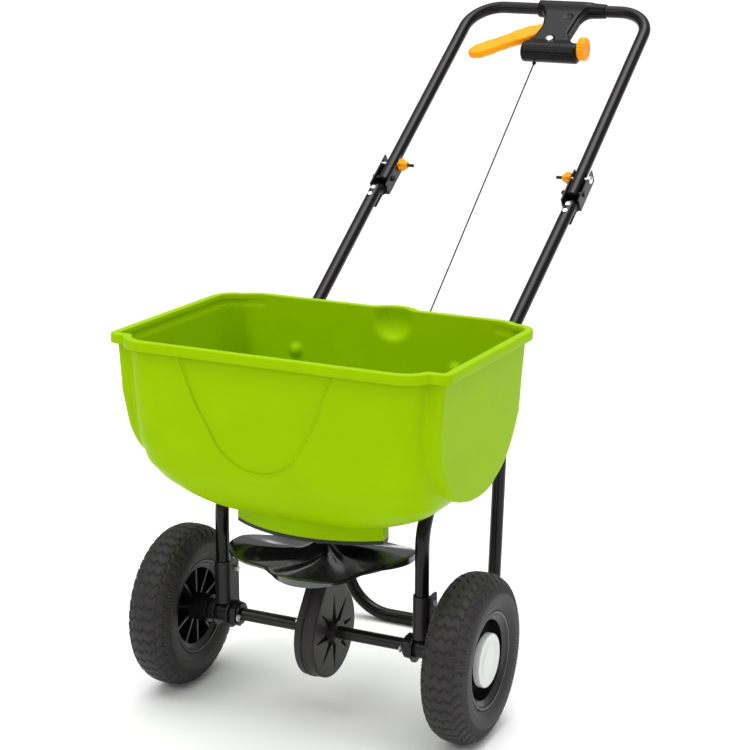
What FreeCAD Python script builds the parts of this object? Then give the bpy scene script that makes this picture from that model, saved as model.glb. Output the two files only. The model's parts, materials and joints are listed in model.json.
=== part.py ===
import FreeCAD, Part
import math
import os

# Walk-behind broadcast spreader, millimetres. X is across the machine, +X its left-hand wheel seen from the
# front; +Y points back to the handle; +Z is up. The axle lies on X, above the working origin on the ground.

V = FreeCAD.Vector
UP = V(0, 0, 1)
ACROSS = V(1, 0, 0)
BACK = V(0, 1, 0)
MID = V(0, 0, 0)
SIDES = {"left": -1, "right": 1}

# Driving dimensions
TYRE_R = 130.0
TYRE_W = 74.0
RIM_R = 72.0
WHEEL_X = 250.5
AXLE_R = 10.0
AXLE_HALF = 274.0
AXLE_Z = TYRE_R
RUN = 0.06            # radial running clearance of shafts in their bushes
TUBE_R = 11.0
TUBE_WALL = 1.5
LEG_X = 172.0
LEG_Y = -8.0
HOPPER_TOP = 607.0
HOPPER_LEAN = -1.5    # degrees about X: the rim stands a little higher at the front
LEAN_POINT = V(0, 24, HOPPER_TOP)
WALL = 3.0
NECK_Z = 310.0
SPINNER_R = 146.0
SPINNER_Z = 254.0
PIVOT_Y = 598.0
PIVOT_Z = 731.5
HANDLE_ANGLE = 33.66
BAR_S = 483.0         # from the fold pivot up the handle to the bar
HANDLE_X = 176.6
LOCK_S = 36.0         # from the fold pivot to the lock bolt
CROWN_TEETH = 72
PINION_TEETH = 12
MODULE = 1.5
STAND_X = 138.0
STAND_Y = 357.0
SHUTTER_TRAVEL = 26.0

LIP = 10.0            # how far the rim stands out from the wall
LIP_DROP = 15.0
FRONT_TOP = 175.0
BAR_BACK = PIVOT_Y + BAR_S * math.cos(math.radians(HANDLE_ANGLE)) + TUBE_R
LEAN = math.radians(-HOPPER_LEAN)
RIM_REACH = FRONT_TOP + LIP + LEAN_POINT.y
RIM_FRONT = LEAN_POINT.y - RIM_REACH * math.cos(LEAN) - LIP_DROP * math.sin(LEAN)
ORIGIN_Y = (BAR_BACK + RIM_FRONT) / 2   # the row's origin is under the middle of the whole machine

nodes = {}


def add(name, shape):
    nodes[name] = shape


def cyl(r, h, base, axis):
    return Part.makeCylinder(r, h, V(*base), axis)


def ring(r_out, r_in, h, base, axis):
    return cyl(r_out, h, base, axis).cut(cyl(r_in, h, base, axis))


def box(x0, x1, y0, y1, z0, z1):
    return Part.makeBox(x1 - x0, y1 - y0, z1 - z0, V(x0, y0, z0))


def prism(points, direction):
    loop = [V(*p) for p in points]
    return Part.Face(Part.makePolygon(loop + loop[:1])).extrude(direction)


def union(shapes):
    return shapes[0].fuse(shapes[1:]) if len(shapes) > 1 else shapes[0]


def both(shape):
    return [shape, shape.mirror(MID, ACROSS)]


def rounded_path(points, radii):
    """A wire of straight runs through points, with a tangent arc of each radius at the inner points."""
    points = [V(*p) for p in points]
    edges = []
    start = points[0]
    for before, corner, after, r in zip(points, points[1:], points[2:], radii):
        a = (before - corner).normalize()
        b = (after - corner).normalize()
        half = math.acos(max(-1.0, min(1.0, a.dot(b)))) / 2
        reach = r / math.tan(half)
        middle = (a + b).normalize()
        centre = corner + middle * (r / math.sin(half))
        p, q = corner + a * reach, corner + b * reach
        edges.append(Part.LineSegment(start, p).toShape())
        edges.append(Part.Arc(p, centre - middle * r, q).toShape())
        start = q
    edges.append(Part.LineSegment(start, points[-1]).toShape())
    return Part.Wire(edges)


def rod(path, r):
    first = path.Edges[0]
    start = first.valueAt(first.FirstParameter)
    along = first.tangentAt(first.FirstParameter)
    profile = Part.Wire([Part.makeCircle(r, start, along)])
    return path.makePipeShell([profile], True, False)


def tube(path, r=TUBE_R, wall=TUBE_WALL):
    return rod(path, r).cut(rod(path, r - wall))


def bolt(base, axis, r, length, head_r, head_h, nut_at=None):
    """A shank from base along axis, a round head behind it, and a hexagon nut at a distance if asked."""
    parts = [Part.makeCylinder(r, length, base, axis), Part.makeCylinder(head_r, head_h, base - axis * head_h, axis)]
    if nut_at is not None:
        parts.append(hexagon(r * 1.7, r * 1.5, base + axis * nut_at, axis))
    return union(parts)


def hexagon(across_r, h, base, axis):
    turn = FreeCAD.Rotation(UP, axis)
    rim = [turn.multVec(V(across_r * math.cos(math.radians(60 * k)), across_r * math.sin(math.radians(60 * k)), 0))
           for k in range(6)]
    rim = [base + p for p in rim]
    return Part.Face(Part.makePolygon(rim + rim[:1])).extrude(axis * h)


def place_handle(shape):
    """From the handle's own frame (pivot at the origin, handle along +Y) to the machine's."""
    shape = shape.copy()
    shape.rotate(MID, ACROSS, HANDLE_ANGLE)
    shape.translate(V(0, PIVOT_Y, PIVOT_Z))
    return shape


def revolve_about_axle(points, x):
    """A full turn, about the axle, of a closed outline given as (distance along X, radius)."""
    loop = [V(x + along, 0, AXLE_Z + r) for along, r in points]
    face = Part.Face(Part.makePolygon(loop + loop[:1]))
    return face.revolve(V(0, 0, AXLE_Z), ACROSS, 360)


# ---------------------------------------------------------------- hopper
LOBE = (  # height, half width, reach to the front, reach to the back, corner radius
    (337, 148, 86, 92, 84), (348, 182, 108, 114, 95), (364, 206, 126, 134, 95), (385, 226, 142, 152, 85),
    (412, 236, 156, 168, 68), (450, 238, 165, 180, 54), (520, 240, 171, 190, 45), (HOPPER_TOP, 242, 175, 198, 40))
POD_X = 267.0
POD_FRONT = 146.0
POD_BACK = 184.0
BULGE = V(28, 185, 592)
BULGE_R = 42.0


def rounded_rectangle(z, a, front, back, r, r_front=None):
    corners = ((a, back, 0), (-a, back, 90), (-a, -front, 180), (a, -front, 270))
    edges = []
    last = None
    first = None
    for x, y, turn in corners:
        bend = r if y > 0 or r_front is None else r_front
        c = V(x - math.copysign(bend, x), y - math.copysign(bend, y), z)
        arc = [c + V(bend * math.cos(math.radians(turn + d)), bend * math.sin(math.radians(turn + d)), 0)
               for d in (0, 45, 90)]
        if last is None:
            first = arc[0]
        else:
            edges.append(Part.LineSegment(last, arc[0]).toShape())
        edges.append(Part.Arc(*arc).toShape())
        last = arc[2]
    edges.append(Part.LineSegment(last, first).toShape())
    return Part.Wire(edges)


def lobe(inset):
    wires = []
    for i, (z, a, front, back, r) in enumerate(LOBE):
        rise = inset if i == 0 else 0
        wires.append(rounded_rectangle(z + rise, a - inset, front - inset, back - inset, r - inset))
    return Part.makeLoft(wires, True, True)


def pods(inset):
    """The two side lobes as one bar across: a U-shaped side outline, its ends leaning in to the bottom."""
    def at(y, z):
        return V(-POD_X - 5, y, z)
    edges = [Part.LineSegment(at(-POD_FRONT, HOPPER_TOP), at(-POD_FRONT, 520)).toShape(),
             Part.LineSegment(at(-POD_FRONT, 520), at(-134, 468)).toShape(),
             Part.Arc(at(-134, 468), at(-94, 414), at(-37, 388)).toShape(),
             Part.Arc(at(-37, 388), at(23, 380), at(83, 390)).toShape(),
             Part.Arc(at(83, 390), at(150, 421), at(186, 476)).toShape(),
             Part.LineSegment(at(186, 476), at(POD_BACK, HOPPER_TOP)).toShape(),
             Part.LineSegment(at(POD_BACK, HOPPER_TOP), at(-POD_FRONT, HOPPER_TOP)).toShape()]
    face = Part.Face(Part.Wire(edges))
    if inset:
        face = face.makeOffset2D(-inset, 0, False, False)
        face = Part.Face(face) if isinstance(face, Part.Wire) else face
    bar = face.extrude(V(2 * POD_X + 10, 0, 0))
    top = HOPPER_TOP + 1
    side = [(POD_X - inset, top), (POD_X - 6 - inset, 535), (POD_X - 10 - inset, 468), (POD_X - 11 - inset, 370)]
    ends = prism([(x, -300, z) for x, z in side] + [(-x, -300, z) for x, z in reversed(side)], V(0, 600, 0))
    return bar.common(ends)


def bulge(inset):
    """Round pocket pushed out of the back wall."""
    r = BULGE_R - inset
    sphere = Part.makeSphere(r, BULGE).common(box(-100, 100, 0, 300, 0, BULGE.z))
    return sphere.fuse(Part.makeCylinder(r, HOPPER_TOP - BULGE.z, BULGE, UP))


def plan(grow, z, h):
    """The rim's outline, grown outward, as a slab."""
    _, a, front, back, r = LOBE[-1]
    middle = Part.Face(rounded_rectangle(z, a + grow, front + grow, back + grow, r + grow)).extrude(V(0, 0, h))
    sides = Part.Face(rounded_rectangle(z, POD_X + grow, POD_FRONT + grow, POD_BACK + grow, 14 + grow, 5 + grow * 0.5))
    round_back = Part.makeCylinder(BULGE_R + grow, h, V(BULGE.x, BULGE.y, z), UP)
    return middle.fuse([sides.extrude(V(0, 0, h)), round_back])


def neck(inset, z0, z1):
    """Outlet neck: front and back bowed, joined by a short flat at each side."""
    x, y0, y1 = 124 - inset, -42 + inset * 0.5, -25 + inset * 0.5
    edges = [Part.Arc(V(-x, y0, z0), V(0, -80 + inset, z0), V(x, y0, z0)).toShape(),
             Part.LineSegment(V(x, y0, z0), V(x, y1, z0)).toShape(),
             Part.Arc(V(x, y1, z0), V(0, 62 - inset, z0), V(-x, y1, z0)).toShape(),
             Part.LineSegment(V(-x, y1, z0), V(-x, y0, z0)).toShape()]
    return Part.Face(Part.Wire(edges)).extrude(V(0, 0, z1 - z0))


TUBE_SLOPE = 0.6475
TUBE_END_Y = 573.0
TUBE_END = V(182.0, TUBE_END_Y, 733.4 - TUBE_SLOPE * (600 - TUBE_END_Y))


def tube_z(y):
    return TUBE_END.z - TUBE_SLOPE * (TUBE_END_Y - y)


def tube_x(y):
    return LEG_X + (TUBE_END.x - LEG_X) * (y - LEG_Y) / (TUBE_END_Y - LEG_Y)


def lower_path(side):
    points = [(side * LEG_X, LEG_Y, 150), (side * LEG_X, LEG_Y, tube_z(LEG_Y)),
              (side * TUBE_END.x, TUBE_END.y, TUBE_END.z)]
    return rounded_path(points, [85])


def tube_channel(grow):
    """Room under the hopper for a lower tube, open downwards."""
    y0, y1 = -60.0, 300.0
    low = 250.0
    r = TUBE_R + 1.5 + grow
    wide = r + 1.0
    start = V(tube_x(y0), y0, tube_z(y0))
    end = V(tube_x(y1), y1, tube_z(y1))
    round_top = Part.makeCylinder(r, (end - start).Length, start, end - start)
    x = tube_x(90)
    below = prism([(x - wide, y0, low), (x - wide, y1, low), (x - wide, y1, end.z), (x - wide, y0, start.z)],
                  V(2 * wide, 0, 0))
    return union(both(round_top.fuse(below)))


def lean(shape):
    shape.rotate(LEAN_POINT, ACROSS, HOPPER_LEAN)
    return shape


def hopper():
    """One moulded shell: a round-cornered bin with a lobe each side, a rolled rim, and an outlet neck."""
    lip = plan(LIP, HOPPER_TOP - LIP_DROP, LIP_DROP).cut(plan(LIP - WALL, HOPPER_TOP - LIP_DROP, LIP_DROP - WALL))
    flange = lip.cut(plan(-WALL, HOPPER_TOP - WALL - 1, WALL + 2))
    outside = lean(union([lobe(0), pods(0), bulge(0), flange])).cut(tube_channel(0))
    inside = lean(union([lobe(WALL), pods(WALL), bulge(WALL)])).cut(tube_channel(WALL))
    shell = outside.cut(inside).cut(lean(plan(-WALL, HOPPER_TOP - WALL, WALL + 1)))
    shell = shell.fuse(neck(0, NECK_Z, 344).cut(neck(WALL, NECK_Z + 4, 345)))
    shell = shell.cut(neck(WALL, NECK_Z + 4, 372))
    holes = ports(NECK_Z - 1, 6, 0) + [cyl(9, 8, (0, 0, NECK_Z - 1), UP)]
    holes += [cyl(3, 90, (side * 140, 150, 520), BACK) for side in (-1, 1)]
    return shell.cut(holes).removeSplitter()


def ports(z, h, shift):
    """The two outlet openings, moved along Y by shift."""
    return [box(x0, x0 + 34, -35 + shift, -10 + shift, z, z + h) for x0 in (-52, 18)]


add("hopper", hopper())

# ---------------------------------------------------------------- shutter under the neck
HOUSING_Z = NECK_Z - 6.0
housing = neck(0, HOUSING_Z, NECK_Z)
housing = housing.cut(box(-61, 61, -67, 90, NECK_Z - 4, NECK_Z + 1))
housing = housing.cut(cyl(8, 12, (0, 0, HOUSING_Z - 1), UP))
for port in ports(HOUSING_Z - 1, 12, 0):
    housing = housing.cut(port)
SCREW_SPOTS = [(side * x, y) for side in (-1, 1) for x, y in ((100, -30), (72, 27))]
housing_screws = []
for x, y in SCREW_SPOTS:
    housing = housing.cut(cyl(2, 12, (x, y, HOUSING_Z - 1), UP))
    nodes["hopper"] = nodes["hopper"].cut(cyl(2, 5, (x, y, NECK_Z - 1), UP))
    housing_screws.append(bolt(V(x, y, HOUSING_Z), UP, 2, 9.5, 4, 2.5))
add("shutter_housing", housing)
add("housing_screws", Part.makeCompound(housing_screws))

plate = box(-60, 60, -66, 22, NECK_Z - 3.6, NECK_Z - 0.6)
for port in ports(NECK_Z - 5, 6, -SHUTTER_TRAVEL):
    plate = plate.cut(port)
slot = box(-9, 9, -SHUTTER_TRAVEL, 0, NECK_Z - 5, NECK_Z + 1)
slot = slot.fuse([cyl(9, 6, (0, y, NECK_Z - 5), UP) for y in (-SHUTTER_TRAVEL, 0)])
plate = plate.cut(slot)
plate = plate.fuse(box(-10, 10, 21, 118, NECK_Z - 3.6, NECK_Z - 0.6))
add("shutter_plate", plate.removeSplitter())
CABLE_LOW = V(0, 114.4, NECK_Z + 10)
CABLE_HIGH = V(-17, 902, 908)
clevis = box(-6, 6, 100, 118, NECK_Z - 0.6, NECK_Z + 4).fuse(cyl(4, 12, (0, 109, NECK_Z), UP))
add("cable_clevis", clevis)

# ---------------------------------------------------------------- spinner, shaft and agitator
SHAFT_R = 5.0
SHAFT_LOW = 172.0
shaft = cyl(SHAFT_R, 345 - SHAFT_LOW, (0, 0, SHAFT_LOW), UP)
shaft = shaft.cut(cyl(2, 20, (-10, 0, 246), ACROSS)).cut(cyl(2.5, 20, (-10, 0, 328), ACROSS))
add("impeller_shaft", shaft)
add("impeller_pin", cyl(2, 26, (-13, 0, 246), ACROSS))
bent_ends = both(cyl(2.5, 14, (32, 0, 328), V(0.3, 0, 1)))
add("agitator", union([cyl(2.5, 68, (-34, 0, 328), ACROSS)] + bent_ends))
add("shaft_bush", ring(9, SHAFT_R + RUN, 8, (0, 0, NECK_Z), UP).fuse(ring(12, SHAFT_R + RUN, 3, (0, 0, NECK_Z + 4), UP)))

LOBE_TURN = 17.0      # degrees from +X to the first lobe
LOBES = 4


def star(r_tip, r_waist, z, h):
    """Four-lobed plate: arcs round each tip joined by hollow arcs between them."""
    def at(r, deg):
        return V(r * math.cos(math.radians(deg)), r * math.sin(math.radians(deg)), z)
    edges = []
    tip = 20.0
    for k in range(LOBES):
        a = LOBE_TURN + 90 * k
        edges.append(Part.Arc(at(r_tip - 3, a - tip), at(r_tip, a), at(r_tip - 3, a + tip)).toShape())
        edges.append(Part.Arc(at(r_tip - 3, a + tip), at(r_waist, a + 45), at(r_tip - 3, a + 90 - tip)).toShape())
    return Part.Face(Part.Wire(edges)).extrude(V(0, 0, h))


def vane(deg):
    """A curved wall standing on the plate along the middle of a lobe."""
    def at(r, turn):
        a = math.radians(deg + turn)
        return V(r * math.cos(a), r * math.sin(a), SPINNER_Z)
    outer = Part.Arc(at(16, 14), at(75, 6), at(136, -9)).toShape()
    inner = Part.Arc(at(136, -7.4), at(75, 9), at(16, 32)).toShape()
    ends = [Part.LineSegment(at(136, -9), at(136, -7.4)).toShape(), Part.LineSegment(at(16, 32), at(16, 14)).toShape()]
    return Part.Face(Part.Wire([outer, ends[0], inner, ends[1]])).extrude(V(0, 0, 15))


hub = cyl(18, 33, (0, 0, SPINNER_Z - 14), UP)
impeller = star(SPINNER_R, 104, SPINNER_Z, 3.5).fuse([hub] + [vane(LOBE_TURN + 90 * k) for k in range(LOBES)])
impeller = impeller.cut(cyl(SHAFT_R, 60, (0, 0, SPINNER_Z - 20), UP)).cut(cyl(2, 26, (-13, 0, 246), ACROSS))
add("impeller", impeller)

# ---------------------------------------------------------------- gears
PITCH = math.pi * MODULE
PINION_R = MODULE * PINION_TEETH / 2
CROWN_R = MODULE * CROWN_TEETH / 2
FACE = 6.0            # width of the meshing teeth
THIN = 0.55           # taken off each tooth for backlash


def pinion():
    """Straight teeth on a hub, with a gap facing the crown gear."""
    root, tip = PINION_R - 1.25 * MODULE, PINION_R + MODULE
    low = AXLE_Z + CROWN_R - FACE / 2
    rim = []
    for k in range(PINION_TEETH):
        mid = 2 * math.pi * (k + 0.5) / PINION_TEETH
        for r, half in ((root, 1.75), (tip, 0.5), (tip, -0.5), (root, -1.75)):
            a = mid - (half - math.copysign(THIN / 2, half)) / r
            rim.append((r * math.cos(a), r * math.sin(a), low))
    gear = prism(rim, V(0, 0, FACE)).fuse(cyl(8, 8, (0, 0, low + FACE), UP))
    return gear.cut(cyl(SHAFT_R, 40, (0, 0, low - 10), UP))


def crown_gear():
    """A disc on the axle with radial teeth on the face towards the pinion."""
    face_x = PINION_R + 1.25 * MODULE
    disc = cyl(CROWN_R + FACE / 2 + 2, 4.5, (face_x, 0, AXLE_Z), ACROSS)
    boss = cyl(16, 12, (5, 0, AXLE_Z), ACROSS)
    r0 = CROWN_R - FACE / 2
    tip_x = PINION_R - 0.9 * MODULE
    half_root, half_tip = 1.75 - THIN / 2, 0.5 + THIN / 4
    tooth = prism([(face_x + 0.5, -half_root, AXLE_Z + r0), (tip_x, -half_tip, AXLE_Z + r0),
                   (tip_x, half_tip, AXLE_Z + r0), (face_x + 0.5, half_root, AXLE_Z + r0)], V(0, 0, FACE))
    teeth = []
    for k in range(CROWN_TEETH):
        one = tooth.copy()
        one.rotate(V(0, 0, AXLE_Z), ACROSS, 360.0 * k / CROWN_TEETH)
        teeth.append(one)
    gear = disc.fuse([boss] + teeth)
    gear = gear.cut(cyl(AXLE_R, 40, (-5, 0, AXLE_Z), ACROSS))
    return gear.cut(crown_pin(2.0))


def crown_pin(r):
    return cyl(r, 34, (8, -17, AXLE_Z), BACK)


add("pinion_gear", pinion())
add("crown_gear", crown_gear())
add("crown_gear_pin", crown_pin(2.0))

# ---------------------------------------------------------------- gear case
CASE_R = 73.0
CASE_X = (-14.0, 20.0)
CASE_TOP = 228.0
CASE_SCREWS = [math.radians(a) for a in (-90, -30, 30, 150, 210)]


def case_outline(inset, x0, x1):
    """Round body about the axle that narrows up to the impeller shaft."""
    r = CASE_R - inset
    top, half = CASE_TOP - inset, 21.0 - inset
    lean_over = math.radians(62)
    y, z = r * math.sin(lean_over), AXLE_Z + r * math.cos(lean_over)
    corners = [V(x0, y, z), V(x0, half, top), V(x0, -half, top), V(x0, -y, z)]
    edges = [Part.LineSegment(p, q).toShape() for p, q in zip(corners, corners[1:])]
    edges.append(Part.Arc(corners[-1], V(x0, 0, AXLE_Z - r), corners[0]).toShape())
    return Part.Face(Part.Wire(edges)).extrude(V(x1 - x0, 0, 0))


case = case_outline(0, *CASE_X)
cavity = case_outline(2.5, CASE_X[0] + 2.5, CASE_X[1] - 2.5).cut(box(-40, 40, -40, 40, CASE_TOP - 14, CASE_TOP))
case = case.cut(cavity)
case_bosses = [cyl(20, 8, (CASE_X[0] - 8, 0, AXLE_Z), ACROSS), cyl(20, 8, (CASE_X[1], 0, AXLE_Z), ACROSS)]
pillars = []
case_holes = []
case_screws = []
for a in CASE_SCREWS:
    y, z = 66.0 * math.cos(a), AXLE_Z + 66.0 * math.sin(a)
    pillars.append(cyl(5.2, CASE_X[1] - CASE_X[0], (CASE_X[0], y, z), ACROSS))
    case_holes.append(cyl(1.6, 40, (CASE_X[0] - 1, y, z), ACROSS))
    case_screws.append(bolt(V(CASE_X[0], y, z), ACROSS, 1.6, 26, 3.2, 2.0))
case = case.fuse(case_bosses + pillars)
case = case.cut([cyl(13, 80, (-40, 0, AXLE_Z), ACROSS), cyl(SHAFT_R + RUN, 40, (0, 0, CASE_TOP - 20), UP)] + case_holes)
add("gear_case_left", case.common(box(-60, 0, -100, 100, 0, 300)))
add("gear_case_right", case.common(box(0, 60, -100, 100, 0, 300)))
add("gear_case_screws", Part.makeCompound(case_screws))
case_bushes = [ring(13, AXLE_R + RUN, 10.5, (CASE_X[0] - 8, 0, AXLE_Z), ACROSS),
               ring(13, AXLE_R + RUN, 10.5, (CASE_X[1] - 2.5, 0, AXLE_Z), ACROSS)]
add("gear_case_bushes", Part.makeCompound(case_bushes))

# ---------------------------------------------------------------- axle
CLIP_X = 141.0
END_CLIP_X = 268.0
HUB_X = WHEEL_X - 20.0
axle = cyl(AXLE_R, 2 * AXLE_HALF, (-AXLE_HALF, 0, AXLE_Z), ACROSS)
clip_spots = [s * x for s in (-1, 1) for x in (CLIP_X, END_CLIP_X)]
clips = []
for x in clip_spots:
    axle = axle.cut(cyl(1.8, 40, (x, -20, AXLE_Z), BACK))
    clips.append(cyl(1.8, 33, (x, -15, AXLE_Z), BACK).fuse(Part.makeTorus(4, 1.5, V(x, -18, AXLE_Z), ACROSS)))
axle = axle.cut(crown_pin(2.0)).cut(cyl(2.5, 60, (-HUB_X, -30, AXLE_Z), BACK))
add("axle", axle)
add("axle_clips", Part.makeCompound(clips))
washers = []
for side in (-1, 1):
    for start, length in ((143.0, 3.5), (188.0, 9.5)):
        x = side * start if side > 0 else -start - length
        washers.append(ring(17, AXLE_R + 0.02, length, (x, 0, AXLE_Z), ACROSS))
add("axle_washers", Part.makeCompound(washers))
add("drive_pin", cyl(2.5, 46, (-HUB_X, -23, AXLE_Z), BACK))

# ---------------------------------------------------------------- wheels
TYRE_OUTLINE = ((-31.5, 76.5), (-35.5, 87), (-37, 99), (-34, 112), (-27, 122), (-15, 128), (0, TYRE_R),
                (15, 128), (27, 122), (34, 112), (37, 99), (35.5, 87), (31.5, 76.5))
TYRE_BEAD = ((27.9, 75.4), (25.8, 66.05), (-25.8, 66.05), (-27.9, 75.4))
TYRE_INSIDE = ((-20, 66.05), (-22, 76), (-29, 90), (-29, 102), (-22, 113), (0, 118), (22, 113), (29, 102), (29, 90),
               (22, 76), (20, 66.05))


def smooth_ring(outline, foot):
    """A full turn of a smooth curve through the outline, closed by straight runs through the foot points."""
    points = [V(a, 0, AXLE_Z + r) for a, r in outline]
    curve = Part.BSplineCurve()
    curve.interpolate(points)
    corners = [points[-1]] + [V(a, 0, AXLE_Z + r) for a, r in foot] + [points[0]]
    runs = [Part.LineSegment(a, b).toShape() for a, b in zip(corners, corners[1:])]
    return Part.Face(Part.Wire([curve.toShape()] + runs)).revolve(V(0, 0, AXLE_Z), ACROSS, 360)


def make_wheel(side):
    rim_half = 31.0
    barrel = revolve_about_axle([(-rim_half, RIM_R), (-rim_half, RIM_R + 3), (-28, RIM_R + 3), (-26, 66),
                                 (26, 66), (28, RIM_R + 3), (rim_half, RIM_R + 3), (rim_half, RIM_R), (28, RIM_R - 3),
                                 (24, 62), (-24, 62), (-28, RIM_R - 3)], 0)
    web = ring(64, 20, 5, (-2, 0, AXLE_Z), ACROSS)
    hub_long = cyl(22, 64, (-52, 0, AXLE_Z), ACROSS)
    cap_seat = ring(40, 36, 26, (0, 0, AXLE_Z), ACROSS)
    ribs = []
    for k in range(10):
        rib = box(-24, 0, -2, 2, AXLE_Z + 20, AXLE_Z + 64)
        rib.rotate(V(0, 0, AXLE_Z), ACROSS, 36.0 * k)
        ribs.append(rib)
    bore = AXLE_R if side < 0 else AXLE_R + RUN
    rim = barrel.fuse([web, hub_long, cap_seat] + ribs).cut(cyl(bore, 140, (-70, 0, AXLE_Z), ACROSS))
    valve_at = V(4, 0, AXLE_Z + 50)
    valve = Part.makeCylinder(4, 16, valve_at, V(0.35, 0, 1)).fuse(Part.makeCylinder(3, 8, valve_at, V(-0.35, 0, -1)))
    if side < 0:
        rim = rim.cut(cyl(2.5, 60, (HUB_X - WHEEL_X, -30, AXLE_Z), BACK))
    rim = rim.cut(valve)
    tyre = smooth_ring(TYRE_OUTLINE, TYRE_BEAD).cut(smooth_ring(TYRE_INSIDE, ((20, 60), (-20, 60))))
    cap = cyl(41.5, 4, (26.1, 0, AXLE_Z), ACROSS).fuse(ring(41.5, 40, 7, (19.5, 0, AXLE_Z), ACROSS))
    turn = {"rim": rim, "tyre": tyre, "valve": valve, "hub_cap": cap}
    name = "left" if side < 0 else "right"
    for part, shape in turn.items():
        shape = shape.copy()
        if side < 0:
            shape.rotate(V(0, 0, AXLE_Z), UP, 180)
        shape.translate(V(side * WHEEL_X, 0, 0))
        add(part + "_" + name, shape)


for sign in SIDES.values():
    make_wheel(sign)

# ---------------------------------------------------------------- axle brackets and bushings
BRACKET_TOP = 219.0
SHEET = 2.6


def axle_bracket(side):
    """A strap folded round the leg's front, its two cheeks carrying the axle bushing and a clamping bolt."""
    r_in, r_out = TUBE_R, TUBE_R + SHEET
    cheeks = []
    for x in (LEG_X - r_out, LEG_X + r_in):
        ear = prism([(x, LEG_Y, 140), (x, 18, 140), (x, 18, BRACKET_TOP - 3), (x, 15, BRACKET_TOP), (x, LEG_Y, BRACKET_TOP)],
                    V(SHEET, 0, 0))
        cheeks.append(ear.fuse(cyl(24, SHEET, (x, 0, AXLE_Z), ACROSS)))
    wrap = ring(r_out, r_in, BRACKET_TOP - 150, (LEG_X, LEG_Y, 150), UP).cut(box(LEG_X - 20, LEG_X + 20, LEG_Y, 40, 0, 300))
    strap = union(cheeks + [wrap]).cut(cyl(16, 60, (LEG_X - 30, 0, AXLE_Z), ACROSS))
    strap = strap.cut(cyl(3, 60, (LEG_X - 30, 8, 203), ACROSS))
    return strap if side > 0 else strap.mirror(MID, ACROSS)


def axle_bushing(side):
    """Plastic bush with a six-sided flange on the inner side."""
    body = cyl(16, 39, (LEG_X - 24, 0, AXLE_Z), ACROSS)
    flange = hexagon(22, 9, V(LEG_X - 25, 0, AXLE_Z), ACROSS).common(cyl(21, 9, (LEG_X - 25, 0, AXLE_Z), ACROSS))
    bush = body.fuse(flange).cut(cyl(AXLE_R + RUN, 60, (LEG_X - 30, 0, AXLE_Z), ACROSS))
    return bush if side > 0 else bush.mirror(MID, ACROSS)


for name, side in SIDES.items():
    add("axle_bracket_" + name, axle_bracket(side))
    add("axle_bushing_" + name, axle_bushing(side))
    add("lower_tube_" + name, tube(lower_path(side)))
bracket_bolt = bolt(V(LEG_X + TUBE_R + SHEET, 8, 203), V(-1, 0, 0), 3, 34, 5, 3, 2 * (TUBE_R + SHEET))
add("bracket_bolts", Part.makeCompound(both(bracket_bolt)))

# ---------------------------------------------------------------- stand and its bolts
CROSS_Y = 285.0
CROSS_Z = tube_z(CROSS_Y)
stand_half = [(STAND_X, CROSS_Y - 14, CROSS_Z + 14), (STAND_X, 391, 430), (STAND_X, STAND_Y, TUBE_R)]
stand_points = stand_half + [(-x, y, z) for x, y, z in reversed(stand_half)]
stand = tube(rounded_path(stand_points, [90, 85, 85, 90]))
stand_bolt = bolt(V(tube_x(CROSS_Y) + TUBE_R, CROSS_Y, CROSS_Z), V(-1, 0, 0), 4, 74, 7, 4, 61.2)
spacer_x = STAND_X + TUBE_R
spacer = ring(8, 4, tube_x(CROSS_Y) - TUBE_R - spacer_x, (spacer_x, CROSS_Y, CROSS_Z), ACROSS)
holes = both(cyl(4, 120, (110, CROSS_Y, CROSS_Z), ACROSS))
add("stand", stand.cut(holes))
add("stand_bolts", Part.makeCompound(both(stand_bolt)))
add("stand_spacers", Part.makeCompound(both(spacer)))

# ---------------------------------------------------------------- strap that holds the hopper's back
STRAP_Z = 520.0
STRAP_Y = (STRAP_Z - tube_z(0)) / TUBE_SLOPE - 21.0
strap = box(-192, 192, STRAP_Y - 4, STRAP_Y, STRAP_Z - 13, STRAP_Z + 13)
strap_bolts = []
hopper_bolts = []
spacers = []
HOLE_Y = 184.0        # inner face of the hopper's back wall
WALL_BACK = HOLE_Y + 5
for name, side in SIDES.items():
    x = side * tube_x(STRAP_Y)
    strap = strap.cut([cyl(3, 20, (x, STRAP_Y - 10, STRAP_Z), BACK),
                       cyl(3, 20, (side * 140, STRAP_Y - 10, STRAP_Z), BACK), rod(lower_path(side), TUBE_R)])
    strap_bolt = bolt(V(x, STRAP_Y - 4, STRAP_Z), BACK, 3, 48, 6, 3.5, 42)
    strap_bolts.append(strap_bolt)
    across = cyl(4, 120, (side * 110, CROSS_Y, CROSS_Z), ACROSS * side)
    nodes["lower_tube_" + name] = nodes["lower_tube_" + name].cut([strap_bolt, across])
    head = V(side * 140, HOLE_Y, STRAP_Z)
    hopper_bolts.append(bolt(head, BACK, 3, STRAP_Y - HOLE_Y + 8, 6.5, 3, STRAP_Y - HOLE_Y))
    spacers.append(ring(7, 3, STRAP_Y - 4 - WALL_BACK, (side * 140, WALL_BACK, STRAP_Z), BACK))
add("cross_strap", strap)
add("strap_bolts", Part.makeCompound(strap_bolts))
add("hopper_bolts", Part.makeCompound(hopper_bolts))
add("hopper_spacers", Part.makeCompound(spacers))

# ---------------------------------------------------------------- fold joint, in the handle's own frame
CHANNEL = (165.3, 193.5)      # inner faces of the bracket's two flanges
CHANNEL_END = 52.0
CHANNEL_LOW = -24.0
TONGUE_END = -62.0
LOWER_X = TUBE_END.x - 0.3   # the lower tube where the rivets hold it
FLANGE_HIGH = 7.0
CHANNEL_BACK = TUBE_R + 3.0


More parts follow.
